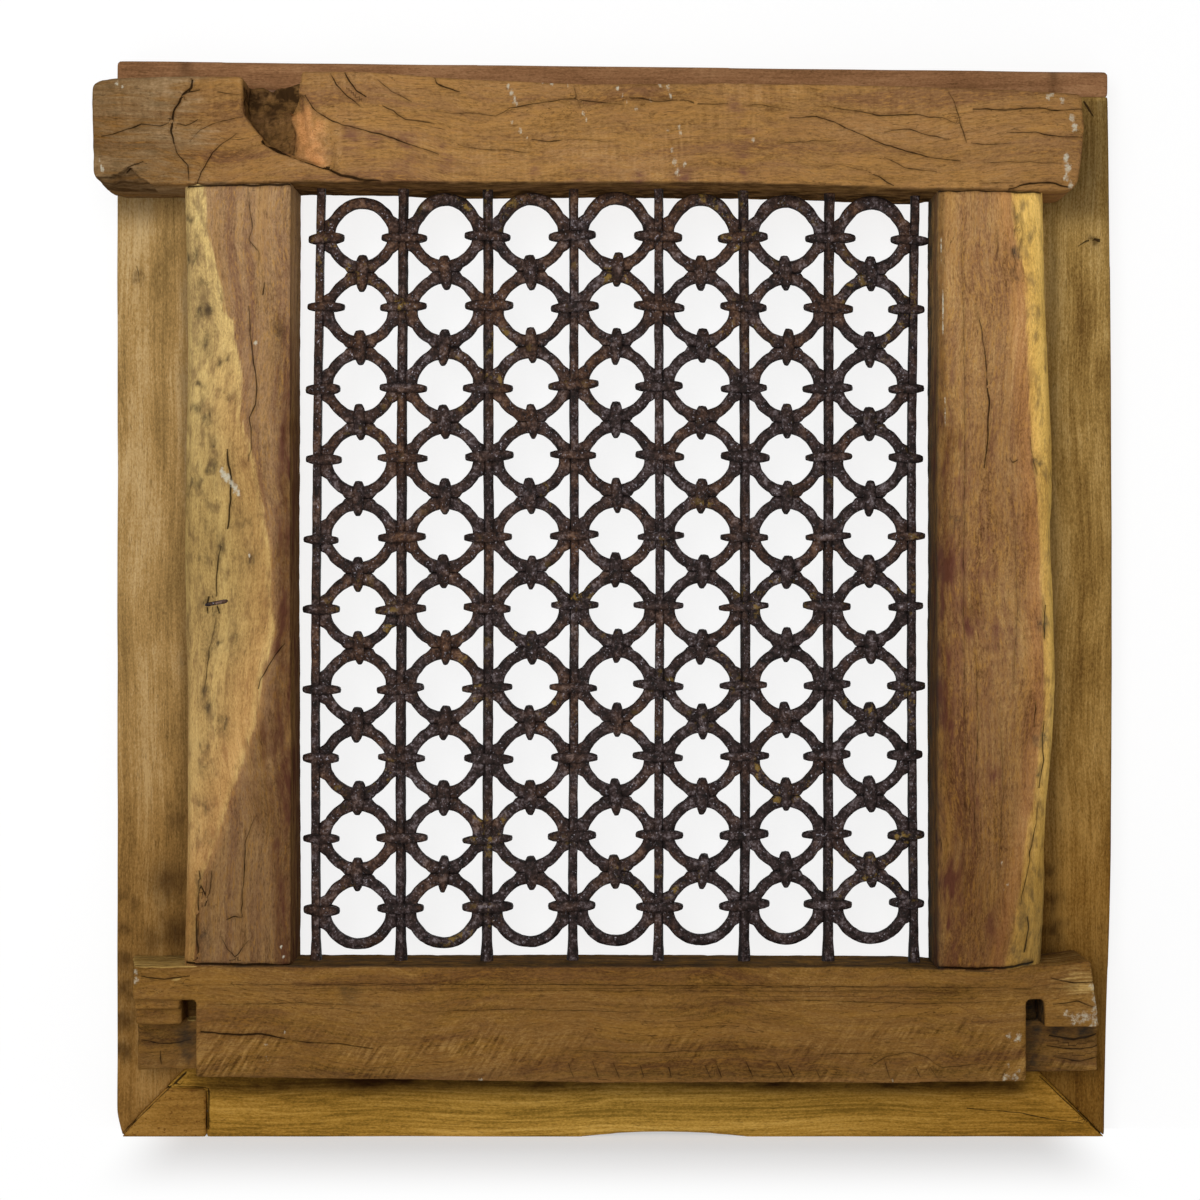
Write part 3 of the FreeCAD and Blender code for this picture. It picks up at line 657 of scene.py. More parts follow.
LINTEL_SPLITS = (
    (0.9, ((192, 77), (190.6, 87.5), (182, 96), (174, 111), (171, 129), (173, 144))),
    (0.35, ((173, 144), (176.5, 154), (188, 165.6), (189, 182))),
    (0.3, ((181, 97), (188.5, 92), (202, 89.5))),
    (0.3, ((216, 92), (227, 94), (241, 95.5))),
    (0.4, ((100, 136), (125, 130), (141, 124), (160, 125.5), (170, 122))),
    (0.25, ((177, 124), (186, 125.5), (200, 119))),
    (0.2, ((188, 142), (201, 129), (225, 120), (245, 118))),
    (0.4, ((197, 186), (201, 172), (212, 152), (238, 133))),
    (0.5, ((123, 172), (129, 166.5), (145, 160))),
    (2.2, ((262, 140), (279, 150), (295, 156), (310, 161), (329, 168))),
    (1.3, ((329, 168), (340, 175), (362, 180), (380, 183))),
    (0.4, ((330, 72), (336, 85), (347, 96), (361, 107))),
    (0.6, ((344, 71), (349, 81), (356, 91), (367, 97))),
    (0.2, ((377, 79), (392, 92), (413, 102))),
    (0.4, ((382, 105), (394, 112), (405, 120), (419, 121), (436, 124))),
    (0.5, ((304, 94), (312, 107), (321, 115), (334, 122), (364, 130), (388, 137), (414, 145), (440, 155))),
    (0.6, ((434, 75), (437, 82), (446, 87), (455, 91), (461, 92))),
    (0.05, ((430, 111), (449, 113), (478, 113))),
    (0.3, ((478, 113), (495, 116), (511, 108), (525, 105), (548, 102), (562, 99), (575, 98.5), (592, 101),
           (610, 103), (626, 104))),
    (0.2, ((457, 144), (470, 147), (482, 149.5), (505, 150), (520, 152), (536, 154))),
    (0.35, ((530, 139), (546, 141), (552, 141), (562, 139))),
    (0.05, ((562, 139), (585, 140), (618, 143))),
    (0.05, ((573, 84), (577, 97), (581, 110))),
    (0.35, ((627, 96), (645, 99), (658, 102), (672, 100), (696, 101))),
    (0.3, ((680, 100), (696, 103), (729, 104))),
    (0.25, ((743, 104), (762, 105), (781, 108))),
    (0.45, ((787, 117), (817, 117), (834, 122), (855, 131), (877, 142), (899, 149), (927, 156.5),
            (962, 161))),
    (0.4, ((832, 107), (855, 111), (883, 116), (916, 114), (943, 118), (958, 124))),
    (0.3, ((883, 131), (910, 130), (927, 135), (950, 139.5))),
    (0.15, ((776, 144), (801, 141), (836, 141))),
    (0.3, ((946, 87), (954, 101), (961, 126), (967, 145))),
    (0.5, ((971, 109), (1009, 109), (1039, 108), (1058, 111), (1083, 109))),
    (0.2, ((969, 142), (984, 145), (1012, 143))),
    (0.35, ((1004, 133), (1036, 132), (1064, 137), (1083, 137))),
    (0.2, ((982, 163), (1009, 162), (1058, 163))),
    (0.3, ((883, 157), (905, 168), (938, 172))),
    (0.45, ((866, 170), (883, 179), (895, 187))),
    (0.0, ((812, 167), (836, 164), (872, 172))),
    (0.1, ((979, 183), (1015, 183))),
    (0.7, ((1008, 191), (1015, 189), (1031, 183), (1056, 183), (1072, 187))),
)
LINTEL_LIMEWASH = (
    (508, 86, 3.5), (511, 93, 4), (514, 100, 3.5), (517, 104, 2.5), (513, 122, 2.5), (520, 130, 3),
    (527, 138, 2.5), (542, 82.5, 2.5), (551, 84, 3), (568, 85, 2.2), (583, 115, 3.2), (586, 120, 2.6),
    (618, 88, 2.5), (622, 95, 2.5), (627, 103, 2.2), (636.5, 107.5, 3), (660, 85, 4), (668, 88, 4),
    (671, 95, 3), (650, 100, 2.5), (679, 126, 3), (680, 134, 3.5), (672, 150, 3), (675, 162, 4.5),
    (678, 172, 4.5), (685, 163, 3), (667, 131, 2), (1066, 158, 5), (1068, 168, 6), (1066, 178, 5),
    (1070, 185, 4), (1047, 97, 4), (1052, 93, 3), (1063, 100, 4), (1072, 118, 5), (1075, 128, 5),
    (100, 160, 3), (103, 168, 3.5), (117, 84, 3), (122, 88, 2.5), (753, 140, 3),
)
# Purple marks: pixel x, y and radius
LINTEL_PURPLE = (
    (445, 159, 7), (443, 146, 4), (535, 173, 6), (580, 173, 6), (640, 178, 6), (684, 178, 7), (744, 135, 6),
    (743, 155, 6), (743, 172, 5), (380, 145, 14), (405, 150, 12), (352, 140, 9), (735, 110, 8),
)
# Orange wood laid bare in the scoop: pixel x, y and radius
BARE_WOOD = ((305, 131, 13), (309, 147, 11), (302, 116, 9), (316, 158, 7))
# How far the underside sags at its back, and how deep and how high the lower left corner is broken
UNDERSIDE_SAG = 2.2
CHIP_DEPTH = 7.0
CHIP_HEIGHT = 3.0
# Brown that deepens towards the left end: pixel x and strength
LINTEL_PATINA = ((95, 0.72), (150, 0.55), (235, 0.2), (330, 0.06), (420, 0.0), (960, 0.0), (1085, 0.08))


def make_lintel():
    """The hewn beam over the opening, with its rotten hollow, broken corner and long splits."""
    blank = plank(line_from_photo(LINTEL_TOP + LINTEL_UNDER), FACE, BACK)
    cutters = []
    for cut in (HOLLOW, SCOOP):
        edge = line_from_photo([(px, py) for px, py, deep in cut])
        cutters.append(plank(edge, FACE - 6, [FACE + deep for px, py, deep in cut]))
    cutters.append(plank(line_from_photo(HOLLOW_BACK, FACE + HOLLOW_DEPTH), FACE - 7, BACK + 6))
    mesh = carved(blank, cutters, TIMBER_VOXEL)
    points = points_of(mesh)
    share = 0.35 + 0.25 * noise(points, (40, 40, 40), 3)
    by_hollow = spots_mask(points, HOLLOW_MIDDLE, FACE, 0)
    points = worn_smooth(mesh, points, 5, share * (1 - 0.8 * by_hollow))
    face_depth = points[:, 1] - FACE
    hollow = inside_outline(points, line_from_photo([(px, py) for px, py, deep in HOLLOW]))
    scoop = inside_outline(points, line_from_photo([(px, py) for px, py, deep in SCOOP]))
    front = fade(face_depth, 9, 3)
    points = hewn(points, mesh, 11, 1.1, 0)
    # The underside hangs a little lower at its back, but for the opening's left end
    over_opening = fade(points[:, 0], -215, -150) * fade(points[:, 0], 292, 280)
    hanging = fade(face_depth, 44, 66) * fade(points[:, 2], LINTEL_LOW[2] + 16, LINTEL_LOW[2] + 4)
    points[:, 2] -= UNDERSIDE_SAG * hanging * over_opening

    # Broken lower corner at the left end
    chip = inside_outline(points, line_from_photo(LINTEL_CHIP)) & (face_depth < 40)
    rough = 1 + 0.5 * noise(points, (12, 12, 8), 71, 2)
    points[:, 1] += np.where(chip, CHIP_DEPTH * rough * fade(face_depth, 40, 0), 0)
    points[:, 2] += np.where(chip, CHIP_HEIGHT * rough * fade(face_depth, 40, 10), 0)
    # Rotten fibres in the hollow
    rot = (hollow & (face_depth > 3) & (face_depth < HOLLOW_DEPTH + 12)).astype(float)
    fibres = noise(points, (3.5, 5, 14), 5, 2)
    points[:, 1] += 3.2 * rot * fibres * fade(face_depth, 6, 16)
    points[:, 0] += 1.2 * rot * noise(points, (6, 6, 6), 15, 2)

    signed, width = nearest_split(points, LINTEL_SPLITS, FACE, 40)
    width = np.where(front > 0.2, width, NO_SPLIT)
    points = grooved(mesh, points, signed, width)
    normals = normals_of(mesh, points)

    # Stains and tints for the finish to read
    scoop = scoop & (face_depth < 40)
    orange = spots_mask(points, BARE_WOOD, FACE, 5) * scoop
    # The underside is painted darker as shade, more so further back over the opening, less under the horns
    underside = fade(-normals[:, 2], 0.4, 0.8)
    horns = (points[:, 0] < from_photo(186, 0)[0]) | (points[:, 0] > from_photo(1040, 0)[0])
    furry = 0.5 * noise(points, (9, 12, 16), 6, 2) + 0.45 * noise(points, (2.6, 3, 9), 7, 2)
    # The rotten hollow is dark, and painted darker towards its top, under its lip, as shade
    shade = 0.64 + 0.4 * fade(points[:, 2], from_photo(0, 110)[1], from_photo(0, 92)[1])
    rot_and_shade = rot * fade(face_depth, 1, 12) * np.clip(shade + 0.55 * furry, 0.25, 1.2)
    underside_grime_and_shade = np.where(horns, 0.15, 0.75 + 0.4 * fade(face_depth, 25, 62))
    grime_and_shade = np.clip(rot_and_shade + 0.6 * chip + underside_grime_and_shade * underside, 0, 1.2)
    px, py = to_photo(points)
    deepening = by_table(px, LINTEL_PATINA)
    bloom = 0.25 + 0.75 * spots_mask(points, LINTEL_PURPLE, FACE, 3, 1.4)
    limewash = spots_mask(points, LINTEL_LIMEWASH, FACE, 1.6, 1.6) * front
    # The left end has greyed, which its finish draws like sapwood
    greyed = 0.12 + 0.5 * fade(px, 270, 150)
    sawn = 0.4 + 1.1 * fade(px, 640, 690) * fade(px, 830, 760)
    give_marks(mesh, "split", signed, width, sawn)
    give_marks(mesh, "stain_and_shading", greyed, grime_and_shade, limewash)
    give_marks(mesh, "tint", np.clip(orange * 1.4, 0, 1), bloom, deepening)
    place_piece("lintel", mesh, LINTEL_TEAK, "old_timber", "lintel")


SILL_FRONT = (
    (132, 966), (150, 967), (300, 966), (600, 966.5), (900, 967), (932, 968), (942, 970.5), (990, 971),
    (1010, 970), (1024, 966.5), (1060, 965), (1091, 961), (1096, 1000), (1099, 1026), (1107, 1029),
    (1107, 1080), (1026, 1081), (900, 1083.5), (600, 1083.5), (500, 1082), (300, 1079), (196, 1077),
    (129.5, 1079), (129.5, 1029), (133, 1026),
)
SILL_NOTCHES = (((178, 1000), (196, 1000), (196, 1028), (178, 1028)),
                ((1026.5, 1000), (1045, 1000), (1045, 1028), (1026.5, 1028)))
SILL_LAPS = (((100, 1027), (196, 1027), (196, 1100), (100, 1100)),
             ((1026.5, 1027), (1130, 1027), (1130, 1100), (1026.5, 1100)))
NOTCH_DEPTH = 52.0
LAP_DEPTH = 40.0
# How much longer the left horn is at its back
HORN_ASKEW = 12.0
# Steps broken from the underside of the left horn: pixel outline and depth
HORN_STEPS = ((((90, 999), (182, 1000.5), (183, 1040), (90, 1041)), 7.0),
              (((95, 1011), (190, 1010), (191, 1042), (95, 1043)), 15.0))
SILL_SPLITS = (
    (0.2, ((183, 985), (400, 984), (700, 985.5), (1080, 988.6))),
    (0.0, ((198, 990), (500, 990), (800, 991.5), (1060, 993))),
    (0.8, ((199, 1032), (235, 1035), (262, 1034), (286, 1039))),
    (0.4, ((286, 1039), (311, 1043), (340, 1044), (374, 1049.5))),
    (0.1, ((205, 1005), (300, 1003), (380, 1006))),
    (0.1, ((420, 1012), (520, 1009), (640, 1012))),
    (0.1, ((700, 1003), (800, 1000), (920, 1004), (1020, 1001))),
    (0.15, ((560, 1050), (640, 1053), (760, 1049))),
    (0.2, ((869, 1067), (885, 1057), (909, 1052), (926, 1057), (942, 1068), (984, 1063))),
    (0.15, ((800, 1056), (839, 1054), (883, 1053))),
    (0.4, ((1050, 978), (1075, 983), (1096, 982))),
    (0.4, ((1052, 1005), (1078, 1001), (1097, 1008))),
    (0.4, ((140, 976), (165, 979), (190, 976))),
)
# Strokes of a saw by the lower edge: pixel x and y of the top, and how far the foot stands to the right
SILL_STROKES = (
    (568, 1062, 6), (592, 1060, 7), (613, 1062, 7), (640, 1064, 4), (668, 1066, 4), (705, 1064, 6),
    (716, 1062, 6), (745, 1060, 9), (776, 1062, 10), (788, 1064, 7), (815, 1066, 5), (884, 1061, 6),
    (915, 1067, 6), (930, 1066, 8),
)
STROKE_FOOT = 1079
SILL_SPLITS += tuple((0.2, ((px, py), (px + lean, STROKE_FOOT))) for px, py, lean in SILL_STROKES)
SILL_LIMEWASH = (
    (242, 1058, 3.5), (268, 1058, 4), (286, 1032, 2.5), (265, 1045, 2.5), (480, 1080, 4), (1008, 1036, 5),
    (1018, 1038, 7), (1015, 1079, 7), (1005, 1078, 6), (1008, 1066, 4), (1018, 1070, 5), (893, 1080, 3.5),
    (1094, 986, 7), (1095, 998, 8), (1096, 1010, 10), (1096, 1020, 9), (1085, 1017, 9), (1075, 1020, 9),
    (1066, 1013, 6), (1090, 1025, 6), (136, 972, 6), (137, 982, 6),
)
SILL_STAINS = ((351, 995, 9), (345, 990, 6))
# Painted shade on the tongues behind the laps, beside the steps up to the front block and under the horns
TONGUE_SHADE = ((1034, 1034, 10), (1031, 1050, 10), (1030, 1066, 9), (1060, 1030, 9), (1085, 1031, 8),
                 (188, 1036, 9), (190, 1055, 7))
TONGUE_SPLITS = (
    (0.9, ((1048, 1035), (1075, 1040), (1100, 1034))),
    (0.5, ((1046, 1046), (1080, 1050), (1101, 1044))),
    (0.4, ((1055, 1058), (1080, 1061), (1101, 1056))),
    (0.4, ((140, 1040), (165, 1043), (192, 1039))),
    (0.3, ((161, 1050), (161, 1066))),
)


def make_sill():
    """The hewn beam under the opening, with a notch and a lap in each end and stepped horns."""
    blank = plank(line_from_photo(SILL_FRONT), FACE, BACK)
    cutters = [plank(line_from_photo(notch), FACE - 6, FACE + NOTCH_DEPTH) for notch in SILL_NOTCHES]
    cutters += [plank(line_from_photo(lap), FACE - 6, FACE + LAP_DEPTH) for lap in SILL_LAPS]
    cutters += [plank(line_from_photo(step), FACE - 6, FACE + deep) for step, deep in HORN_STEPS]
    mesh = carved(blank, cutters, TIMBER_VOXEL)
    points = points_of(mesh)
    share = 0.4 + 0.2 * noise(points, (40, 40, 40), 8)
    by_notch = spots_mask(points, ((187, 1013, 45), (1036, 1013, 45)), FACE, 0)
    points = worn_smooth(mesh, points, 3, share * (1 - by_notch))
    face_depth = points[:, 1] - FACE
    front = fade(face_depth, 9, 3)
    points = hewn(points, mesh, 21, 0.9, 0)
    horn = fade(np.abs(points[:, 0]), 372, 380)
    points[:, 1] += horn * 2.2 * noise(points, (26, 30, 9), 61, 2)
    # The left end is cut askew, longer at its back
    high_up = fade(points[:, 2], from_photo(0, 1003)[1], from_photo(0, 996)[1])
    points[:, 0] -= HORN_ASKEW * fade(-points[:, 0], 380, 425) * fade(face_depth, 0, 70) * high_up
    behind_lap = (face_depth > LAP_DEPTH - 6) & (face_depth < LAP_DEPTH + 6)
    signed, width = nearest_split(points, SILL_SPLITS, FACE, 50, 0.6)
    signed_behind, width_behind = nearest_split(points, TONGUE_SPLITS, FACE + LAP_DEPTH, 55)
    width = np.where(behind_lap, width_behind, np.where(front > 0.2, width, NO_SPLIT))
    signed = np.where(behind_lap, signed_behind, signed)
    points = grooved(mesh, points, signed, width)
    normals = normals_of(mesh, points)
    # The sill's top is darker inside the opening, with grime and painted shade, and the right notch is painted
    # dark to its depth as shade
    inside = fade(np.abs(points[:, 0]), 360, 340)
    upward = fade(normals[:, 2], 0.4, 0.8)
    grime_and_shade = 0.2 * horn * fade(face_depth, 8, 40) + (0.05 + 0.66 * inside) * upward
    grime_and_shade += 0.2 * fade(points[:, 2], SILL_LOW[2] + 16, SILL_LOW[2]) * front
    grime_and_shade += 0.45 * spots_mask(points, SILL_STAINS, FACE, 4) * (face_depth < LAP_DEPTH)
    # Painted shade on the tongues, beside the steps up to the front block
    grime_and_shade += 0.75 * spots_mask(points, TONGUE_SHADE, FACE + LAP_DEPTH, 4) * behind_lap
    px, py = to_photo(points)
    (left, top), (right, bottom) = SILL_NOTCHES[1][0], SILL_NOTCHES[1][2]
    hidden = (px > left - 2) & (px < right + 2) & (py > top - 2) & (py < bottom + 7) & (face_depth > 5)
    grime_and_shade = np.where(hidden, np.maximum(grime_and_shade, 0.85), grime_and_shade)
    limewash = 0.85 * spots_mask(points, SILL_LIMEWASH, FACE, 2.4, 1.4) * front
    sawn = (0.25 + 0.75 * fade(py, 1018, 1040)) * fade(noise(points, (60, 60, 30), 23, 2), -0.5, 0.3)
    give_marks(mesh, "split", signed, width, sawn)
    # The horns' tops are painted lighter, as light from above, and the right horn's front has bleached; the
    # finish draws both like sapwood
    horn_top = np.where(px < 600, 1.0, 0.4) * horn * upward
    bleached_and_painted_light = np.maximum(horn_top, 0.43 * fade(px, 1026, 1080) * fade(py, 1016, 990) * front)
    give_marks(mesh, "stain_and_shading", bleached_and_painted_light, grime_and_shade, limewash)
    bare = 0.12 * fade(py, 1076, 1081) * front
    give_marks(mesh, "tint", bare, 0.3)
    place_piece("sill", mesh, SILL_TEAK, "old_timber", "sill")


# Waney edges: pixel y, where the wane starts on the face, the outer edge, and how far back the edge goes
LEFT_WANE = (
    (180, 196, 185, 20), (260, 197, 186, 26), (360, 202, 187, 30), (460, 204, 187, 34), (560, 203, 186, 34),
    (640, 200, 187, 32), (740, 199, 188, 28), (840, 197, 188, 26), (900, 194, 186, 22), (975, 191, 184, 16),
)
RIGHT_WANE = (
    (180, 1034, 1041, 20), (300, 1036, 1043.5, 24), (400, 1038, 1048.5, 28), (440, 1040, 1051, 30),
    (500, 1041, 1051.5, 32), (525, 1040, 1049.5, 32), (600, 1042, 1052.4, 32), (690, 1044, 1054, 34),
    (760, 1040, 1050, 34), (800, 1034, 1045.5, 34), (850, 1024, 1043.6, 32), (900, 1019, 1043.5, 30),
    (975, 1013, 1039, 26),
)
LEFT_INNER = 290.5
RIGHT_INNER = 938.5
LEFT_SAP = (
    (180, 203), (236, 208), (264, 216), (290, 222), (312, 225), (320, 232), (343, 235), (374, 240),
    (400, 241), (418, 240), (445, 250), (473, 257), (532, 265), (552, 270), (631, 273), (655, 266),
    (677, 259), (726, 254), (759, 242), (794, 231), (825, 221), (856, 211), (875, 202), (910, 197),
    (975, 193),
)
RIGHT_SAP = (
    (180, 1011), (207, 1013), (233, 1016), (260, 1021), (287, 1026), (340, 1027), (420, 1031), (480, 1036),
    (554, 1041), (661, 1044), (715, 1044), (768, 1038), (822, 1031), (875, 1022), (929, 1012), (975, 1003),
)
LEFT_SPLITS = (
    (0.2, ((248, 190), (249, 212), (252, 226), (249, 239), (258, 251), (258, 266))),
    (0.35, ((264, 280), (262, 296))),
    (0.45, ((248, 305), (251, 343), (256, 384), (256, 404), (249, 417), (251, 445), (248, 462))),
    (0.8, ((226, 448), (231, 481), (230, 501), (227, 530))),
    (0.4, ((221, 543), (217, 563), (216.5, 580), (216, 598))),
    (0.9, ((208.5, 595), (206.5, 603))),
    (0.7, ((207, 606), (206.5, 613))),
    (0.7, ((216.5, 605), (218.8, 615))),
    (0.25, ((215, 616), (211, 641), (205, 677), (203, 700))),
    (0.4, ((286, 643), (272, 659), (259, 680), (257, 692))),
    (0.3, ((256, 815), (244, 845), (244, 871), (241, 912), (243, 918))),
    (0.35, ((243, 918), (234, 916), (225, 920))),
    (0.3, ((221, 935), (227, 950), (234, 958), (240, 950), (248, 940))),
    (0.6, ((199, 870), (199, 884), (207, 899), (204, 908))),
    (0.35, ((211, 870), (209, 894), (206, 900))),
    (0.5, ((196, 915), (197, 960))),
    (0.4, ((198, 880), (198, 955))),
)
LEFT_DENTS = (
    (190, 218, 5), (197, 233, 3), (192, 255, 5), (200, 282, 4), (203, 307, 7), (204, 343, 8), (223, 358, 4),
    (202, 388, 5), (195, 407, 6), (205.5, 420, 5), (228, 394, 2.5), (213, 442, 5), (194, 481, 5),
    (207, 522, 4), (244, 522, 4), (221, 547, 4), (202, 556, 4), (249, 560, 5), (212, 470, 5), (217, 638, 4),
    (209, 651, 4), (234, 641, 5), (203, 692, 4), (207, 708, 6), (223, 723, 4), (199, 746, 5), (202, 769, 5),
    (202, 810, 4), (203, 838, 4), (199, 879, 4), (203, 940, 4), (279, 333, 4), (205, 600, 3.5), (214, 609, 3),
)
LEFT_LIMEWASH = ((221.5, 470, 3.5), (224, 474, 4), (227, 478, 4), (231, 484, 3.5), (234, 489, 4),
                 (236.5, 492, 3.5), (248, 554, 2.5), (255, 343, 2.5), (281, 948, 2), (284, 958, 2))
LEFT_DARK = ((284, 560, 9), (284, 640, 11), (282, 690, 13), (278, 730, 14), (262, 745, 11), (284, 790, 13),
             (268, 800, 14), (284, 850, 10), (286, 900, 8), (286, 430, 6), (285, 490, 7), (279, 333, 5))
# The open joints at the stile's head and foot
LEFT_JOINTS = ((1.0, ((180, 185.2), (240, 184), (291, 183.6))),
               (1.1, ((183, 963), (200, 964.6), (250, 965.4), (291, 965.2))))
RIGHT_SPLITS = (
    (0.2, ((976, 305), (981, 325), (985, 348), (989, 385))),
    (0.5, ((985, 345), (990, 400), (988, 440), (985, 470))),
    (0.0, ((963, 240), (964, 330), (966, 420), (964, 600), (966, 760), (965, 900))),
    (0.5, ((1028, 915), (1030, 930), (1025, 955))),
    (0.1, ((998, 228), (998, 262))),
    (0.2, ((1013, 247), (1016, 262), (1013, 276))),
    (0.05, ((1014, 203), (1017, 222), (1014, 240))),
    (0.1, ((1021, 210), (1023, 233), (1020, 252))),
    (0.3, ((1010, 457), (1014, 463), (1020, 459))),
    (0.15, ((1031, 435), (1033, 450), (1038, 475))),
    (0.0, ((1015, 520), (1018, 600), (1014, 690))),
    (0.05, ((975, 640), (979, 720), (974, 800), (978, 860))),
    (0.0, ((1000, 700), (1004, 790), (998, 880))),
    (0.45, ((1047, 605), (1046, 622), (1046.5, 640))),
    (0.3, ((1036, 700), (1035, 728))),
    (0.5, ((1046, 720), (1044, 742), (1045, 760), (1040, 790))),
    (0.3, ((1040, 800), (1036, 835), (1029, 872), (1021, 905))),
)
RIGHT_DARK = ((955, 820, 12), (958, 890, 16), (985, 930, 15), (950, 950, 14), (1000, 955, 11), (972, 610, 9),
              (955, 440, 8), (944, 560, 8), (944, 700, 8))
RIGHT_PURPLE = ((962, 470, 14), (985, 560, 15), (970, 615, 15), (1000, 640, 11), (958, 560, 12),
                (980, 800, 9), (995, 780, 7), (950, 390, 10), (945, 640, 9), (948, 730, 9))
RIGHT_JOINTS = ((1.0, ((938, 190.4), (975, 189.8), (1010, 190.8), (1045, 191.8))),
                (1.1, ((936, 967.8), (960, 969), (1004, 969.2), (1020, 965.6), (1042, 963))))
RIGHT_DENTS = ((958, 520, 3), (1017, 213, 4), (1021, 232, 3), (1016, 250, 4), (1018, 275, 3), (1038, 462, 3),
               (1045, 622, 3), (1044, 738, 4), (1040, 775, 3))
RIGHT_LIMEWASH = ((1001, 865, 3), (1004, 890, 3.5), (1008, 884, 3))
# A line of limewash along the inner arris of the right stile
RIGHT_ARRIS = ((0.2, ((941.5, 222), (943, 300), (944.5, 350), (945.5, 400), (947, 465))),)
STILE_FACE = FACE + 3.0
# Both stiles darken towards the foot: pixel y and strength
LEFT_STILE_DEEPENING = ((190, 0.0), (280, 0.05), (480, 0.35), (650, 0.45), (880, 0.8))
RIGHT_STILE_DEEPENING = ((190, 0.0), (280, 0.05), (480, 0.35), (650, 0.45), (880, 0.9))


def make_stile(side, wane, inner, sap_line, splits, dents, dark_spots, purple_spots, joints, limewash_spots,
               deepening_rows, finish, seed):
    """A hewn upright with a squared inner edge and a waney outer edge."""
    rows = np.array(wane, dtype=float)
    outward = -1 if side == "left" else 1
    foot = SILL_HIGH[2] - 6
    head = LINTEL_LOW[2] + 14
    # Cross-sections from foot to head, with the waney edge as the photograph shows it
    rings = []
    for z in np.linspace(foot, head, 40):
        py = PHOTO_MIDDLE + (CAMERA_Z - z) / PHOTO_MM_PER_PIXEL
        back_by = np.interp(py, rows[:, 0], rows[:, 3])
        start = from_photo(np.interp(py, rows[:, 0], rows[:, 1]), py)[0]
        outer = from_photo(np.interp(py, rows[:, 0], rows[:, 2]), py, STILE_FACE + back_by)[0]
        inside = from_photo(inner, py)[0]
        reach = outer - start
        rings.append([(inside, STILE_FACE, z), (start, STILE_FACE, z),
                      (start + reach * 0.55, STILE_FACE + back_by * 0.16, z),
                      (start + reach * 0.85, STILE_FACE + back_by * 0.45, z),
                      (outer, STILE_FACE + back_by, z), (outer - 2 * outward, BACK, z), (inside, BACK, z)])
    mesh = carved(solid_between(rings), [], TIMBER_VOXEL)
    points = points_of(mesh)
    share = 0.35 + 0.2 * noise(points, (40, 40, 40), seed + 3)
    points = worn_smooth(mesh, points, 5, share)
    face_depth = points[:, 1] - STILE_FACE
    front = fade(face_depth, 34, 14)
    points = hewn(points, mesh, seed, 1.2, 2)
    dent = spots_mask(points, dents, FACE, 5, 1.5, seed) * front
    wide_dents = [(px, py, 2.2 * radius) for px, py, radius in dents]
    halo = spots_mask(points, wide_dents, FACE, 7, 1.6, seed + 9) * front
    points[:, 1] += DENT_DEPTH * dent
    signed, width = nearest_split(points, splits + joints, FACE, seed + 60)
    width = np.where(face_depth < 8, width, NO_SPLIT)
    points = grooved(mesh, points, signed, width)
    normals = normals_of(mesh, points)
    px, py = to_photo(points)
    boundary = from_photo(by_table(py, sap_line), py)[0]
    inner_face = fade(-normals[:, 0] * outward, 0.5, 0.85)
    from_boundary = (points[:, 0] - boundary) * outward
    sapwood = fade(from_boundary, -9, 9)
    limewash = spots_mask(points, limewash_spots, FACE, 1.6, 1.6) * front
    far_back = fade(face_depth, 20, 62)
    if side == "left":
        # Orange shows on the sapwood, which is darker at mid height and near the foot
        inner_grime_and_shade = 0.1 + 0.35 * far_back
        arris_shade = 0
        limewash = 1.25 * limewash
        orange = 0.35 * fade(from_boundary, 45, 5) * fade(py, 290, 450) + 0.2 * fade(py, 560, 760)
        orange = orange * sapwood * front
        foot_grime = 0
        on_sapwood = 1.2 * np.exp(-((py - 520) / 130) ** 2) + 0.9 * fade(py, 850, 950) - 0.2
    else:
        # The inner arris is dark, with a broken line of limewash on its upper half
        inner_grime_and_shade = 0.5 + 0.5 * far_back
        arris_shade = fade(px, 948, 941) * front * (1 - inner_face)
        arris, arris_width = nearest_split(points, RIGHT_ARRIS, FACE, seed + 66, 0.6)
        broken = np.clip(1 + 0.6 * noise(points, (6, 6, 16), seed + 67, 2), 0, 1.2) * fade(py, 620, 340)
        line = broken * fade(np.abs(arris) - arris_width, 1.3, 0) * (face_depth < 6)
        limewash = np.maximum(0.8 * limewash, line)
        orange = 0.42 * np.exp(-((from_boundary + 5) / 9) ** 2) * front
        foot_grime = 0.3
        on_sapwood = -0.5 * fade(py, 900, 760)
    # The inner face is painted darker as shade, more so further back, with some grime; dents and their halos
    # are grime
    grime_and_shade = np.maximum(0.75 * dent, 0.24 * halo) + inner_grime_and_shade * inner_face + 0.2 * arris_shade
    grime_and_shade += foot_grime * sapwood * fade(py, 850, 930)
    by_inner = fade((points[:, 0] - from_photo(inner, 0)[0]) * outward, 20, 4) * fade(py, 290, 420)
    dark = spots_mask(points, dark_spots, FACE, 5, 2.2, seed + 7)
    # Darker towards the foot, as the table gives; along the right stile's inner arris it is painted shade
    deepening = by_table(py, deepening_rows) * (1 + on_sapwood * sapwood)
    deepening = np.clip(deepening + 0.5 * by_inner + 0.9 * arris_shade + 0.45 * dark * (1 - sapwood), 0, 1)
    purple = spots_mask(points, purple_spots, FACE, 5, 2.2, seed + 8)
    bloom = 0.3 + 0.75 * by_inner + 0.6 * dark + 0.7 * purple
    give_marks(mesh, "split", signed, width, 1)
    give_marks(mesh, "stain_and_shading", sapwood, grime_and_shade, limewash)
    give_marks(mesh, "tint", orange, np.clip(bloom, 0, 1) * (1 - sapwood), deepening)
    place_piece(side + "_stile", mesh, finish, "old_timber", side + "_stile")


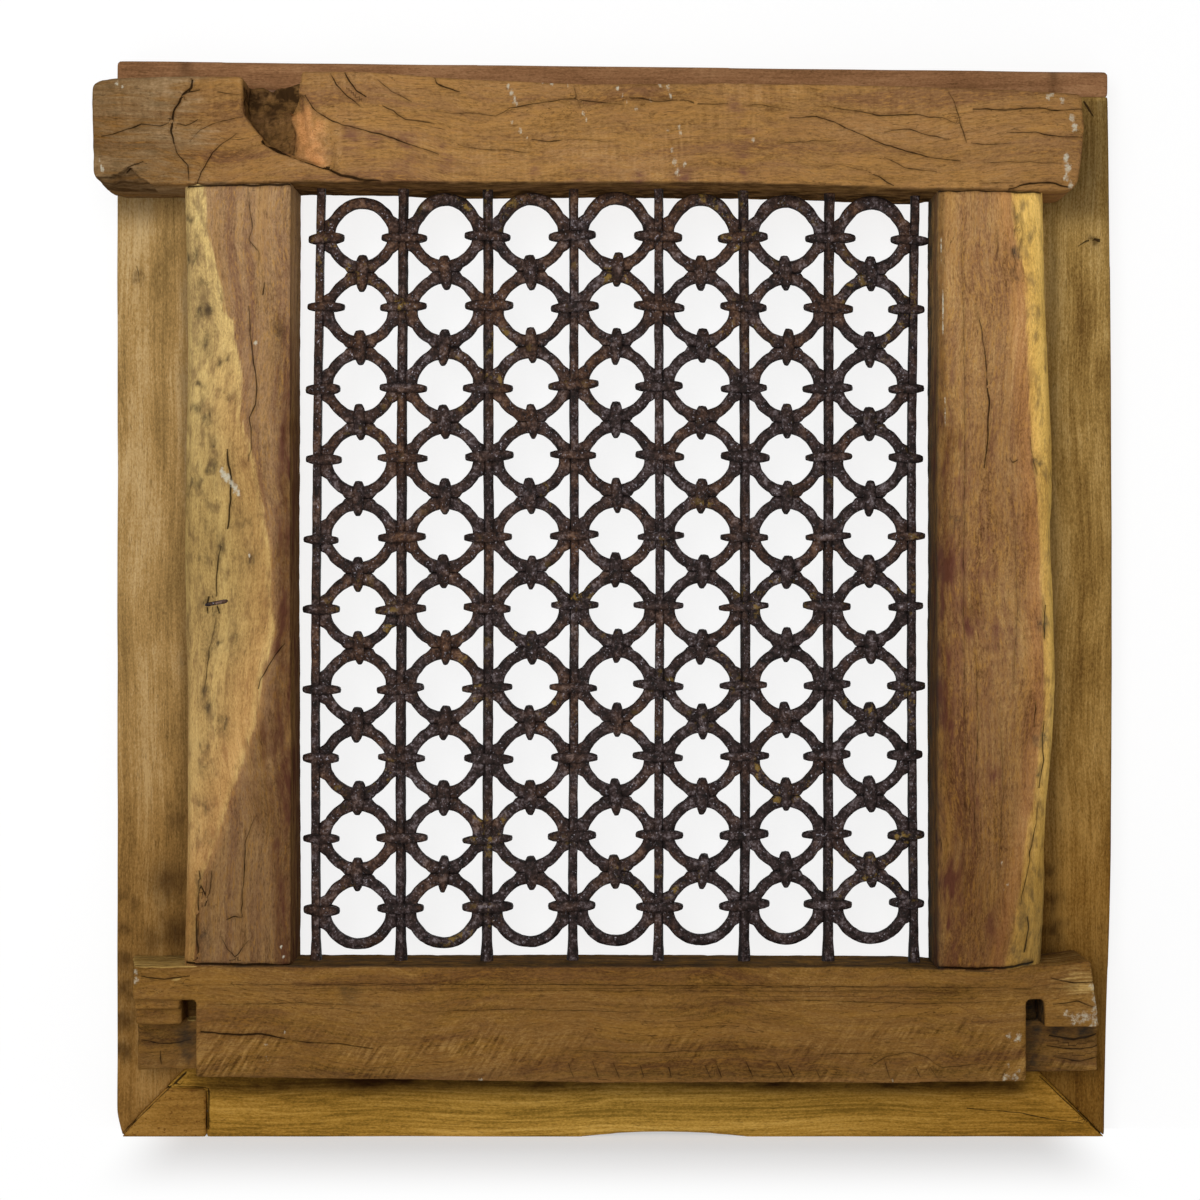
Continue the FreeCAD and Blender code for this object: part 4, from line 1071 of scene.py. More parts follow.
make_lintel()
make_sill()
make_stile("left", LEFT_WANE, LEFT_INNER, LEFT_SAP, LEFT_SPLITS, LEFT_DENTS, LEFT_DARK, (), LEFT_JOINTS,
           LEFT_LIMEWASH, LEFT_STILE_DEEPENING, LEFT_TEAK, 300)
make_stile("right", RIGHT_WANE, RIGHT_INNER, RIGHT_SAP, RIGHT_SPLITS, RIGHT_DENTS, RIGHT_DARK, RIGHT_PURPLE,
           RIGHT_JOINTS, RIGHT_LIMEWASH, RIGHT_STILE_DEEPENING, RIGHT_TEAK, 400)


# Casing boards

CASING_LEFT = planed_board("casing_left_board", "Z", (0, 40, 0), ("#7b6138", "#a0804e", "#bb9f70"))
CASING_RIGHT = planed_board("casing_right_board", "Z", (430, 0, 77), ("#684d25", "#947640", "#b99b62"))
CASING_BOTTOM = planed_board("casing_bottom_board", "X", (55, 0, 300), ("#826425", "#ae8739", "#cca452"),
                             streaks=0.38)
PATCH_BOARD = planed_board("patch_board", "X", (155, 10, 40), ("#724d1d", "#8e672c", "#a47b3d"), 0.7)
TOP_BOARD = planed_board("top_board", "X", (0, 210, 20), ("#6b4a2e", "#886040", "#9d7551"))
# Darkening down the side boards, by pixel y
NO_DEEPENING = ((0, 0.0), (PHOTO_SIDE, 0.0))
LEFT_BOARD_DEEPENING = ((200, 0.0), (420, 0.1), (560, 0.1), (700, 0.25), (850, 0.6), (950, 0.75), (1130, 0.85))
RIGHT_BOARD_DEEPENING = ((200, 0.0), (420, 0.2), (560, 0.3), (700, 0.45), (900, 0.9), (1060, 0.95), (1130, 1.0))
# Along the lower board, by pixel x
BOTTOM_BOARD_DEEPENING = ((130, 0.5), (420, 0.25), (600, 0.0), (760, 0.1), (1090, 0.65))
# Boards are drawn a little fuller than their solids, so that their joints close
JOINT_FULLNESS = 0.5
# How far the right foot is drawn in, and how far the left foot's corner is worn
RIGHT_FOOT_IN = 3.4
LEFT_CORNER_WORN = 5.0
# Heights between which the lower board is painted darker towards the sill, as the sill's shadow
UNDER_SILL = (33, 49)


def drawn_in(points):
    """The casing's feet are narrower than square, the right one for some way up, the left at its corner."""
    points[:, 0] -= RIGHT_FOOT_IN * fade(points[:, 2], 280, 60) * fade(points[:, 0], 250, 400)
    points[:, 0] += LEFT_CORNER_WORN * fade(points[:, 2], 26, -4) * fade(-points[:, 0], 400, 450)
    return points


def make_board(node, finish, slot, seed, splits=(), stains_and_shade=(), deepening=NO_DEEPENING, deepening_axis=2, top_lift=0.0,
               foot_drop=0.0, foot_grime=0.0):
    """A planed board from its CAD node, with eased edges and a slightly uneven face."""
    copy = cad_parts[node].data.copy()
    shape = bmesh.new()
    shape.from_mesh(copy)
    bmesh.ops.remove_doubles(shape, verts=shape.verts[:], dist=0.00001)
    shape.to_mesh(copy)
    shape.free()
    mesh = carved(loose_object("blank", copy), [], BOARD_VOXEL)
    points = points_of(mesh)
    share = 0.35 + 0.25 * noise(points, (50, 50, 50), seed)
    points = worn_smooth(mesh, points, 3, share)
    normals = normals_of(mesh, points)
    lift = JOINT_FULLNESS + 0.35 * noise(points, (90, 90, 90), seed + 1, 2)
    points = points + normals * lift[:, None]
    points[:, 2] += top_lift * fade(normals[:, 2], 0.5, 0.9) - foot_drop * fade(-normals[:, 2], 0.5, 0.9)
    points[:, 1] = np.minimum(points[:, 1], 0)
    points[:, 2] = np.maximum(points[:, 2], CASING_LOW[2])
    points = drawn_in(points)
    signed, width = nearest_split(points, splits, CASING_FACE, seed + 9, 0.25)
    width = np.where(points[:, 1] < CASING_FACE + 8, width, NO_SPLIT)
    points = grooved(mesh, points, signed, width)
    normals_of(mesh, points)
    give_marks(mesh, "split", signed, width)
    px, py = to_photo(points)
    near_face = fade(points[:, 1], CASING_FACE + 14, CASING_FACE + 4)
    # Stains, and painted shade beside the stiles' feet
    grime_and_shade = 0.8 * spots_mask(points, stains_and_shade, CASING_FACE, 5) * near_face
    # Painted shadow beside the stiles and under the sill and the lintel, and more grime towards the foot
    for edge_px in (LEFT_WANE[4][2], RIGHT_WANE[6][2]):
        stray = 2 * noise(points, (20, 20, 60), seed + 4, 2)
        gap = (points[:, 0] - from_photo(edge_px, 0, CASING_FACE)[0] + stray) / 6
        by_stile = np.exp(-gap * gap) * (points[:, 2] > SILL_HIGH[2])
        grime_and_shade = np.maximum(grime_and_shade, 0.45 * by_stile * near_face)
    under_sill = fade(points[:, 2], *UNDER_SILL) * fade(np.abs(points[:, 0]), 400, 370)
    under_sill = under_sill * (points[:, 2] < SILL_HIGH[2])
    grime_and_shade = np.maximum(grime_and_shade, under_sill * near_face)
    under_lintel = fade(points[:, 2], LINTEL_LOW[2] - 34, LINTEL_LOW[2] - 2)
    under_lintel = under_lintel * (points[:, 2] < LINTEL_HIGH[2] - 12)
    grime_and_shade = np.maximum(grime_and_shade, 0.5 * under_lintel * near_face)
    grime_and_shade = np.maximum(grime_and_shade, foot_grime * fade(py, 850, 1040) * near_face)
    along = px if deepening_axis == 0 else py
    give_marks(mesh, "stain_and_shading", by_table(along, deepening), grime_and_shade)
    place_piece(node, mesh, finish, slot, node)


# Stains, and painted shade beside the stiles' feet: pixel x, y and radius
CASING_LEFT_STAINS_AND_SHADE = (
    (172, 880, 26), (178, 930, 24), (180, 820, 12), (138, 272, 4), (139, 279, 4), (182, 960, 14),
    (121, 895, 6), (134, 902, 6), (150, 938, 12), (124, 930, 9), (125, 960, 11), (125, 990, 13),
    (125, 1020, 13), (125, 1050, 11),
)
CASING_RIGHT_STAINS_AND_SHADE = ((1048, 870, 11), (1049, 900, 14), (1050, 930, 16), (1053, 955, 18), (1093, 240, 6),
                       (1096, 1062, 12))
# Open joints: the mitres at both feet, and the gaps round the patch
LEFT_MITRE = ((0.35, ((120, 1135.5), (174, 1083.3))), (1.0, ((168, 1089), (187, 1071))))
RIGHT_MITRE = ((0.5, ((1038.7, 1075.3), (1103.1, 1135.8))),)
LEFT_KNOT = ((0.35, ((136, 264), (138.5, 272), (139.5, 284))),)
PATCH_GAPS = ((0.5, ((172, 1086), (209, 1088))),
              (0.9, ((208.5, 1087), (208, 1110), (207.5, 1122), (208, 1132))))
CASING_RIGHT_SPLITS = RIGHT_MITRE + ((0.8, ((1083, 100), (1094, 117))), (1.6, ((1093, 239), (1102, 241))),
                                     (0.5, ((1077, 247), (1086, 241), (1095, 240))))
CASING_BOTTOM_SPLITS = LEFT_MITRE + RIGHT_MITRE + PATCH_GAPS + (
    (0.4, ((965, 1108), (1020, 1113), (1050, 1119), (1088, 1124))),)

make_board("casing_left", CASING_LEFT, "casing_board", 500, LEFT_MITRE + LEFT_KNOT, CASING_LEFT_STAINS_AND_SHADE,
           LEFT_BOARD_DEEPENING)
make_board("casing_right", CASING_RIGHT, "casing_board", 520, CASING_RIGHT_SPLITS, CASING_RIGHT_STAINS_AND_SHADE,
           RIGHT_BOARD_DEEPENING, foot_grime=0.36)
make_board("casing_bottom", CASING_BOTTOM, "casing_board", 540, CASING_BOTTOM_SPLITS, deepening=BOTTOM_BOARD_DEEPENING,
           deepening_axis=0)
make_board("casing_patch", PATCH_BOARD, "patch_board", 560, LEFT_MITRE + PATCH_GAPS)
make_board("casing_top", TOP_BOARD, "top_board", 580, top_lift=1.4, foot_drop=0.6)


# Iron lattice, grown by geometry nodes

IRON = rusted_iron("rusted_forged_iron")
BAR_COUNT = 8
RING_ROWS = 10
RING_LOW, RING_HIGH = node_box("ring_column_1")
BAR_WIDTH = 8.4
RING_DIAMETER = RING_HIGH[0] - RING_LOW[0]
RING_PITCH = (RING_HIGH[2] - RING_LOW[2] - RING_DIAMETER) / (RING_ROWS - 1)
FIRST_RING = RING_LOW[2] + RING_DIAMETER / 2
RING_LIMB = 10.4
RING_DEPTH = 8.0
STRAP_WIDTH = 10.6
STRAP_THICKNESS = 3.6
STRAP_HALF_DEPTH = 5.9
# How far the photograph shows the lattice pulled out of square, in millimetres: each bar's shift at its head,
# middle and foot, and the rise of the lattice's left, middle and right at its head and at its foot
BAR_SHIFTS = ((5.3, 0.7, 0.5), (2.7, 0.5, 0.5), (2.4, 2.8, 1.5), (2.8, 3.4, 2.0), (3.0, 3.9, 2.6),
              (3.1, 4.5, 3.6), (3.7, 2.7, 2.7), (4.6, 1.0, 4.1))
HEAD_RISE = (-2.5, -0.5, -5.0)
FOOT_RISE = (-1.0, 2.5, 5.0)
# Rings of the top row, but for the first column's, are drawn up to the lintel
TOP_STRETCH = 3.5


def size_tree(name, sockets):
    """A geometry tree with named inputs, and those inputs to link from."""
    tree = bpy.data.node_groups.new(name, "GeometryNodeTree")
    for label, kind in sockets:
        tree.interface.new_socket(label, in_out="INPUT", socket_type="NodeSocket" + kind)
    tree.interface.new_socket("Geometry", in_out="OUTPUT", socket_type="NodeSocketGeometry")
    return tree, tree.nodes.new("NodeGroupInput").outputs


def grown(tree, values, start=None):
    """A plain mesh from a tree, with its inputs set by their identifiers."""
    holder = loose_object("holder", start or bpy.data.meshes.new("holder"))
    grow = holder.modifiers.new("grow", "NODES")
    grow.node_group = tree
    for item in tree.interface.items_tree:
        if item.in_out == "INPUT" and item.name in values:
            grow[item.identifier] = values[item.name]
    return evaluated(holder)


def finish_tree(tree, given, shape, lump):
    """Roughens a grown shape like hammered iron, gives it its finish and ends the tree."""
    shape = add(tree, "GeometryNodeRealizeInstances", {"Geometry": shape})
    spot = add(tree, "GeometryNodeInputPosition")
    for size, strength in ((lump, 1.0), (lump / 3.5, 0.45)):
        rough = add(tree, "TexNoise", {"Vector": spot, "W": given["Seed"], "Scale": 1 / (size * MM),
                                       "Detail": 1}, out="Color", noise_dimensions="4D")
        rough = add(tree, "VectorMath", rough, (0.5, 0.5, 0.5), operation="SUBTRACT")
        push = add(tree, "Math", given["Unevenness"], strength * 2, operation="MULTIPLY")
        rough = add(tree, "VectorMath", {0: rough, "Scale": push}, operation="SCALE")
        shape = add(tree, "GeometryNodeSetPosition", {"Geometry": shape, "Offset": rough})
    shape = add(tree, "GeometryNodeSetShadeSmooth", {"Geometry": shape})
    shape = add(tree, "GeometryNodeSetMaterial", {"Geometry": shape, "Material": given["Finish"]})
    add(tree, "NodeGroupOutput", {"Geometry": shape})


def ring_tree():
    """A column of forged rings whose limbs are hammered flat where they meet a bar or the next ring."""
    tree, given = size_tree("forged_rings", (
        ("Column X", "Float"), ("Lattice Y", "Float"), ("First Ring Z", "Float"), ("Ring Pitch", "Float"),
        ("Ring Count", "Int"), ("Ring Diameter", "Float"), ("Limb Width", "Float"), ("Limb Depth", "Float"),
        ("Limb Rounding", "Float"), ("Bar Face", "Float"), ("Weld Reach", "Float"), ("Unevenness", "Float"),
        ("Seed", "Int"), ("Finish", "Material")))
    start = add(tree, "CombineXYZ", given["Column X"], given["Lattice Y"], given["First Ring Z"])
    step = add(tree, "CombineXYZ", {2: given["Ring Pitch"]})
    rows = add(tree, "GeometryNodeMeshLine", {"Count": given["Ring Count"], "Start Location": start,
                                              "Offset": step})
    outer = add(tree, "Math", given["Ring Diameter"], 0.5, operation="MULTIPLY")
    middle = add(tree, "Math", given["Limb Width"], -0.5, outer, operation="MULTIPLY_ADD")
    circle = add(tree, "GeometryNodeCurvePrimitiveCircle", {"Resolution": 84, "Radius": middle})
    section = add(tree, "GeometryNodeCurvePrimitiveQuadrilateral",
                  {"Width": given["Limb Width"], "Height": given["Limb Depth"]})
    section = add(tree, "GeometryNodeFilletCurve", {"Curve": section, "Count": 2,
                                                    "Radius": given["Limb Rounding"]}, mode="POLY")
    ring = add(tree, "GeometryNodeCurveToMesh", {"Curve": circle, "Profile Curve": section})
    rings = add(tree, "GeometryNodeInstanceOnPoints", {"Points": rows, "Instance": ring,
                                                       "Rotation": (math.pi / 2, 0, 0)})
    wobble = add(tree, "FunctionNodeRandomValue", {"Min": (-0.03, -0.03, -3.1), "Max": (0.03, 0.03, 3.1),
                                                   "Seed": given["Seed"]}, data_type="FLOAT_VECTOR")
    rings = add(tree, "GeometryNodeRotateInstances", {"Instances": rings, "Rotation": wobble})
    shape = add(tree, "GeometryNodeRealizeInstances", {"Geometry": rings})

    # Each point's place from the middle of its own ring
    spot = add(tree, "SeparateXYZ", add(tree, "GeometryNodeInputPosition"), out="X").node.outputs
    side = add(tree, "Math", spot["X"], given["Column X"], operation="SUBTRACT")
    height = add(tree, "Math", spot["Z"], given["First Ring Z"], operation="SUBTRACT")
    row = add(tree, "Math", height, given["Ring Pitch"], operation="DIVIDE")
    row = add(tree, "Math", row, operation="ROUND")
    last = add(tree, "Math", given["Ring Count"], 1, operation="SUBTRACT")
    row = add(tree, "Clamp", {"Value": row, "Min": 0, "Max": last})
    base = add(tree, "Math", row, given["Ring Pitch"], operation="MULTIPLY")
    rise = add(tree, "Math", height, base, operation="SUBTRACT")
    across = add(tree, "Math", side, operation="ABSOLUTE")
    up = add(tree, "Math", rise, operation="ABSOLUTE")
    out_from = add(tree, "CombineXYZ", across, up)
    out_from = add(tree, "VectorMath", out_from, out="Value", operation="LENGTH")
    outside = add(tree, "Math", out_from, middle, operation="GREATER_THAN")
    top = add(tree, "Math", last, given["Ring Pitch"], operation="MULTIPLY")
    above_first = add(tree, "Math", height, 0, operation="GREATER_THAN")
    below_last = add(tree, "Math", height, top, operation="LESS_THAN")
    between = add(tree, "Math", above_first, below_last, operation="MULTIPLY")
    half_pitch = add(tree, "Math", given["Ring Pitch"], 0.504, operation="MULTIPLY")
    hole = add(tree, "Math", outer, given["Limb Width"], operation="SUBTRACT")
    own_round = add(tree, "Mix", {0: outside, 2: hole, 3: outer})
    squared = add(tree, "Math", own_round, own_round, operation="MULTIPLY")
    moved = []
    between = add(tree, "Math", between, outside, operation="MULTIPLY")
    for distance, along, contact, reach_share, limit in ((across, up, given["Bar Face"], 1.0, 1.0),
                                                         (up, across, half_pitch, 0.95, between)):
        # The outer side is drawn out to the contact, and the hole's side is beaten half straight
        shares = []
        for start, end, most in ((0.9, 0.1, 0.65), (1.0, 0.76, 1.0)):
            ends = [add(tree, "Math", given["Weld Reach"], reach_share * share,
                        operation="MULTIPLY") for share in (start, end)]
            shares.append(add(tree, "MapRange", along, ends[0], ends[1], 0, most,
                              interpolation_type="SMOOTHSTEP"))
        filled = add(tree, "Mix", {0: outside, 2: shares[0], 3: shares[1]})
        filled = add(tree, "Math", filled, limit, operation="MULTIPLY")
        hole_side = add(tree, "Math", contact, given["Limb Width"], operation="SUBTRACT")
        line = add(tree, "Mix", {0: outside, 2: hole_side, 3: contact})
        round_edge = add(tree, "Math", along, along, operation="MULTIPLY")
        round_edge = add(tree, "Math", squared, round_edge, operation="SUBTRACT")
        round_edge = add(tree, "Math", round_edge, operation="SQRT")
        missing = add(tree, "Math", line, round_edge, operation="SUBTRACT")
        moved.append(add(tree, "Math", missing, filled, distance, operation="MULTIPLY_ADD"))
    new_side = add(tree, "Math", moved[0], add(tree, "Math", side, operation="SIGN"), given["Column X"],
                   operation="MULTIPLY_ADD")
    floor = add(tree, "Math", base, given["First Ring Z"], operation="ADD")
    new_height = add(tree, "Math", moved[1], add(tree, "Math", rise, operation="SIGN"), floor,
                     operation="MULTIPLY_ADD")
    place = add(tree, "CombineXYZ", new_side, spot["Y"], new_height)
    shape = add(tree, "GeometryNodeSetPosition", {"Geometry": shape, "Position": place})
    finish_tree(tree, given, shape, 12)
    return tree


def bar_tree():
    """A square forged bar, a little crooked, thicker where it enters the sill."""
    tree, given = size_tree("forged_bar", (
        ("Bar X", "Float"), ("Lattice Y", "Float"), ("Foot Z", "Float"), ("Head Z", "Float"),
        ("Bar Width", "Float"), ("Edge Rounding", "Float"), ("Flare From Z", "Float"),
        ("Flare To Z", "Float"), ("Crook", "Float"), ("Unevenness", "Float"), ("Seed", "Int"),
        ("Finish", "Material")))
    foot = add(tree, "CombineXYZ", given["Bar X"], given["Lattice Y"], given["Foot Z"])
    head = add(tree, "CombineXYZ", given["Bar X"], given["Lattice Y"], given["Head Z"])
    line = add(tree, "GeometryNodeCurvePrimitiveLine", {"Start": foot, "End": head})
    line = add(tree, "GeometryNodeResampleCurve", {"Curve": line, "Count": 150})
    spot = add(tree, "GeometryNodeInputPosition")
    bend = add(tree, "TexNoise", {"Vector": spot, "W": given["Seed"], "Scale": 1 / 0.16, "Detail": 0},
               out="Color", noise_dimensions="4D")
    bend = add(tree, "VectorMath", bend, (0.5, 0.5, 0.5), operation="SUBTRACT")
    bend = add(tree, "VectorMath", {0: bend, "Scale": given["Crook"]}, operation="SCALE")
    line = add(tree, "GeometryNodeSetPosition", {"Geometry": line, "Offset": bend})
    section = add(tree, "GeometryNodeCurvePrimitiveQuadrilateral",
                  {"Width": given["Bar Width"], "Height": given["Bar Width"]})
    section = add(tree, "GeometryNodeFilletCurve", {"Curve": section, "Count": 2,
                                                    "Radius": given["Edge Rounding"]}, mode="POLY")
    height = add(tree, "SeparateXYZ", spot, out="Z")
    flare = add(tree, "MapRange", height, given["Flare From Z"], given["Flare To Z"], 1.25,
                interpolation_type="SMOOTHSTEP")
    shape = add(tree, "GeometryNodeCurveToMesh", {"Curve": line, "Profile Curve": section, "Scale": flare,
                                                  "Fill Caps": True})
    finish_tree(tree, given, shape, 14)
    return tree


def collar_tree():
    """A row of straps, each bent round the iron that it ties and pinched to a tip at both ends."""
    tree, given = size_tree("clenched_collars", (
        ("Middle X", "Float"), ("Lattice Y", "Float"), ("First Collar Z", "Float"), ("Collar Pitch", "Float"),
        ("Collar Count", "Int"), ("Half Length", "Float"), ("Half Depth", "Float"), ("Strap Width", "Float"),
        ("Strap Thickness", "Float"), ("Turn", "Float"), ("Tilt", "Float"), ("Stray", "Float"),
        ("Zigzag", "Float"), ("Wedge", "Float"), ("Pinch", "Float"), ("Unevenness", "Float"), ("Seed", "Int"),
        ("Finish", "Material")))
    loop = add(tree, "GeometryNodeCurvePrimitiveCircle", {"Resolution": 16, "Radius": 1})
    unit = add(tree, "SeparateXYZ", add(tree, "GeometryNodeInputPosition"), out="X").node.outputs
    sides = []
    for part, reach in ((unit["X"], given["Half Length"]), (unit["Y"], given["Half Depth"])):
        size = add(tree, "Math", part, operation="ABSOLUTE")
        size = add(tree, "Math", size, 0.68, operation="POWER")
        size = add(tree, "Math", size, add(tree, "Math", part, operation="SIGN"), operation="MULTIPLY")
        sides.append(add(tree, "Math", size, reach, operation="MULTIPLY"))
    bent = add(tree, "CombineXYZ", sides[0], sides[1])
    loop = add(tree, "GeometryNodeSetPosition", {"Geometry": loop, "Position": bent})
    section = add(tree, "GeometryNodeCurvePrimitiveCircle", {"Resolution": 6, "Radius": 0.5})
    flat = add(tree, "CombineXYZ", given["Strap Thickness"], given["Strap Width"], 1)
    section = add(tree, "GeometryNodeTransform", {"Geometry": section, "Scale": flat})
    way = add(tree, "Math", add(tree, "Math", unit["X"], operation="ABSOLUTE"), given["Half Length"],
              operation="DIVIDE")
    taper = add(tree, "Math", way, 3, operation="POWER")
    taper = add(tree, "Math", taper, given["Pinch"], operation="MULTIPLY")
    taper = add(tree, "Math", 1, taper, operation="SUBTRACT")
    wedge = add(tree, "Math", unit["X"], given["Half Length"], operation="DIVIDE")
    wedge = add(tree, "Math", wedge, given["Wedge"], operation="MULTIPLY")
    taper = add(tree, "Math", taper, wedge, operation="SUBTRACT")
    strap = add(tree, "GeometryNodeCurveToMesh", {"Curve": loop, "Profile Curve": section, "Scale": taper})
    start = add(tree, "CombineXYZ", given["Middle X"], given["Lattice Y"], given["First Collar Z"])
    step = add(tree, "CombineXYZ", {2: given["Collar Pitch"]})
    rows = add(tree, "GeometryNodeMeshLine", {"Count": given["Collar Count"], "Start Location": start,
                                              "Offset": step})
    stray = add(tree, "FunctionNodeRandomValue", {"Min": (-1, -0.2, -1), "Max": (1, 0.2, 1),
                                                  "Seed": given["Seed"]}, data_type="FLOAT_VECTOR")
    stray = add(tree, "VectorMath", {0: stray, "Scale": given["Stray"]}, operation="SCALE")
    rows = add(tree, "GeometryNodeSetPosition", {"Geometry": rows, "Offset": stray})
    odd = add(tree, "Math", add(tree, "GeometryNodeInputIndex"), 2, operation="MODULO")
    odd = add(tree, "Math", odd, -2, 1, operation="MULTIPLY_ADD")
    odd = add(tree, "Math", odd, given["Zigzag"], operation="MULTIPLY")
    odd = add(tree, "CombineXYZ", {2: odd})
    rows = add(tree, "GeometryNodeSetPosition", {"Geometry": rows, "Offset": odd})
    other_seed = add(tree, "Math", given["Seed"], 71, operation="ADD")
    tilt = add(tree, "FunctionNodeRandomValue", {2: -1.0, 3: 1.0, "Seed": other_seed}, out=1)
    angle = add(tree, "Math", tilt, given["Tilt"], given["Turn"], operation="MULTIPLY_ADD")
    turn = add(tree, "CombineXYZ", {1: angle})
    spread = add(tree, "FunctionNodeRandomValue", {"Min": (0.95, 0.97, 0.88), "Max": (1.06, 1.08, 1.12),
                                                   "Seed": other_seed}, data_type="FLOAT_VECTOR")
    shape = add(tree, "GeometryNodeInstanceOnPoints", {"Points": rows, "Instance": strap, "Rotation": turn,
                                                       "Scale": spread})
    finish_tree(tree, given, shape, 7)
    return tree


def pulled(mesh, bar_places, rises):
    """Moves a grown mesh with the lattice's small departures from square."""
    points = points_of(mesh)
    part = np.clip((points[:, 2] - SILL_HIGH[2]) / (LINTEL_LOW[2] - SILL_HIGH[2]), 0, 1)
    head, middle, foot = (np.interp(points[:, 0], bar_places, shifts) for shifts in zip(*BAR_SHIFTS))
    shift = head * part * (2 * part - 1) + middle * 4 * part * (1 - part) + foot * (1 - part) * (1 - 2 * part)
    points[:, 0] += shift
    if rises:
        across = (bar_places[0], 0, bar_places[-1])
        points[:, 2] += np.interp(points[:, 0], across, HEAD_RISE) * part
        points[:, 2] += np.interp(points[:, 0], across, FOOT_RISE) * (1 - part)
        drawn_up = fade(points[:, 2], LINTEL_LOW[2] - 24, LINTEL_LOW[2] - 5)
        points[:, 2] += TOP_STRETCH * drawn_up * fade(points[:, 0], bar_places[1] - 20, bar_places[1] + 12)
    normals_of(mesh, points)
    return mesh


def make_lattice():
    """Bars, rings and collars, each grown to the places of their CAD nodes."""
    rings = ring_tree()
    bars = bar_tree()
    collars = collar_tree()
    bar_places = []
    for number in range(1, BAR_COUNT + 1):
        low, high = node_box(f"bar_{number}")
        bar_places.append((low[0] + high[0]) / 2)
    for number in range(1, BAR_COUNT + 1):
        low, high = node_box(f"bar_{number}")
        mesh = grown(bars, {
            "Bar X": bar_places[number - 1] * MM, "Lattice Y": LATTICE * MM, "Foot Z": low[2] * MM,
            "Head Z": high[2] * MM, "Bar Width": (BAR_WIDTH - 0.7) * MM, "Edge Rounding": 1.6 * MM,
            "Flare From Z": (SILL_HIGH[2] + 2) * MM, "Flare To Z": (SILL_HIGH[2] + 22) * MM,
            "Crook": 1.6 * MM, "Unevenness": 0.6 * MM, "Seed": 10 + number, "Finish": IRON})
        pulled(mesh, bar_places, False)
        place_piece(f"bar_{number}", mesh, IRON, "forged_iron", f"bar_{number}")
    strap = {"Lattice Y": LATTICE * MM, "Collar Pitch": RING_PITCH * MM, "Half Depth": STRAP_HALF_DEPTH * MM,
             "Strap Width": STRAP_WIDTH * MM, "Strap Thickness": STRAP_THICKNESS * MM, "Stray": 1.3 * MM,
             "Unevenness": 0.5 * MM, "Finish": IRON}
    for number in range(1, BAR_COUNT + 1):
        low, high = node_box(f"bar_collars_{number}")
        mesh = grown(collars, {
            **strap, "Middle X": (low[0] + high[0]) / 2 * MM, "First Collar Z": FIRST_RING * MM,
            "Collar Count": RING_ROWS, "Half Length": ((high[0] - low[0]) / 2 - 1.6) * MM, "Turn": 0.0,
            "Tilt": math.radians(4), "Zigzag": 2.4 * MM, "Wedge": 0.0, "Pinch": 0.5, "Seed": 200 + number})
        pulled(mesh, bar_places, True)
        place_piece(f"bar_collars_{number}", mesh, IRON, "forged_iron", f"bar_collars_{number}")
    for number in range(1, BAR_COUNT):
        low, high = node_box(f"ring_column_{number}")
        column = (low[0] + high[0]) / 2
        mesh = grown(rings, {
            "Column X": column * MM, "Lattice Y": LATTICE * MM, "First Ring Z": FIRST_RING * MM,
            "Ring Pitch": RING_PITCH * MM, "Ring Count": RING_ROWS, "Ring Diameter": RING_DIAMETER * MM,
            "Limb Width": RING_LIMB * MM, "Limb Depth": RING_DEPTH * MM, "Limb Rounding": 3.2 * MM,
            "Bar Face": (bar_places[number] - column - BAR_WIDTH / 2 + 1.2) * MM, "Weld Reach": 16.8 * MM,
            "Unevenness": 0.8 * MM, "Seed": 40 + number, "Finish": IRON})
        pulled(mesh, bar_places, True)
        place_piece(f"ring_column_{number}", mesh, IRON, "forged_iron", f"ring_column_{number}")
        tie_low, tie_high = node_box(f"ring_collars_{number}")
        tie_length = tie_high[2] - tie_low[2] - RING_PITCH * (RING_ROWS - 2)
        mesh = grown(collars, {
            **strap, "Middle X": column * MM, "First Collar Z": (FIRST_RING + RING_PITCH / 2) * MM,
            "Collar Count": RING_ROWS - 1, "Half Length": (tie_length / 2 - 1) * MM, "Turn": math.pi / 2,
            "Tilt": math.radians(5), "Zigzag": 0.0, "Wedge": 0.12, "Pinch": 0.6, "Seed": 300 + number,
            "Strap Width": 1.22 * STRAP_WIDTH * MM})
        pulled(mesh, bar_places, True)
        place_piece(f"ring_collars_{number}", mesh, IRON, "forged_iron", f"ring_collars_{number}")


make_lattice()


# Fasteners and pegs, driven in where the CAD solids are

FASTENER_STEEL = zinc_plated_steel("dull_zinc_plated_steel")
# Inputs that the trees of screws, nails and pegs share, before and after their own
DRIVEN = (("Geometry", "Geometry"), ("Head Diameter", "Float"), ("Head Height", "Float"),
          ("Neck Diameter", "Float"))
SPUN = (("Length", "Float"), ("Seed", "Int"), ("Finish", "Material"))


def islands_of(node):
    """Lowest and highest corner of each separate solid of a CAD node, in millimetres."""
    shape = bmesh.new()
    shape.from_mesh(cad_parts[node].data)
    bmesh.ops.remove_doubles(shape, verts=shape.verts[:], dist=0.00001)
    left = set(shape.verts)
    boxes = []
    while left:
        reached = [left.pop()]
        for vert in reached:
            linked = {edge.other_vert(vert) for edge in vert.link_edges} & left
            left -= linked
            reached.extend(linked)
        places = np.array([vert.co for vert in reached]) / MM
        boxes.append((places.min(axis=0), places.max(axis=0)))
    shape.free()
    return sorted(boxes, key=lambda box: tuple(np.round(box[0], 2)))


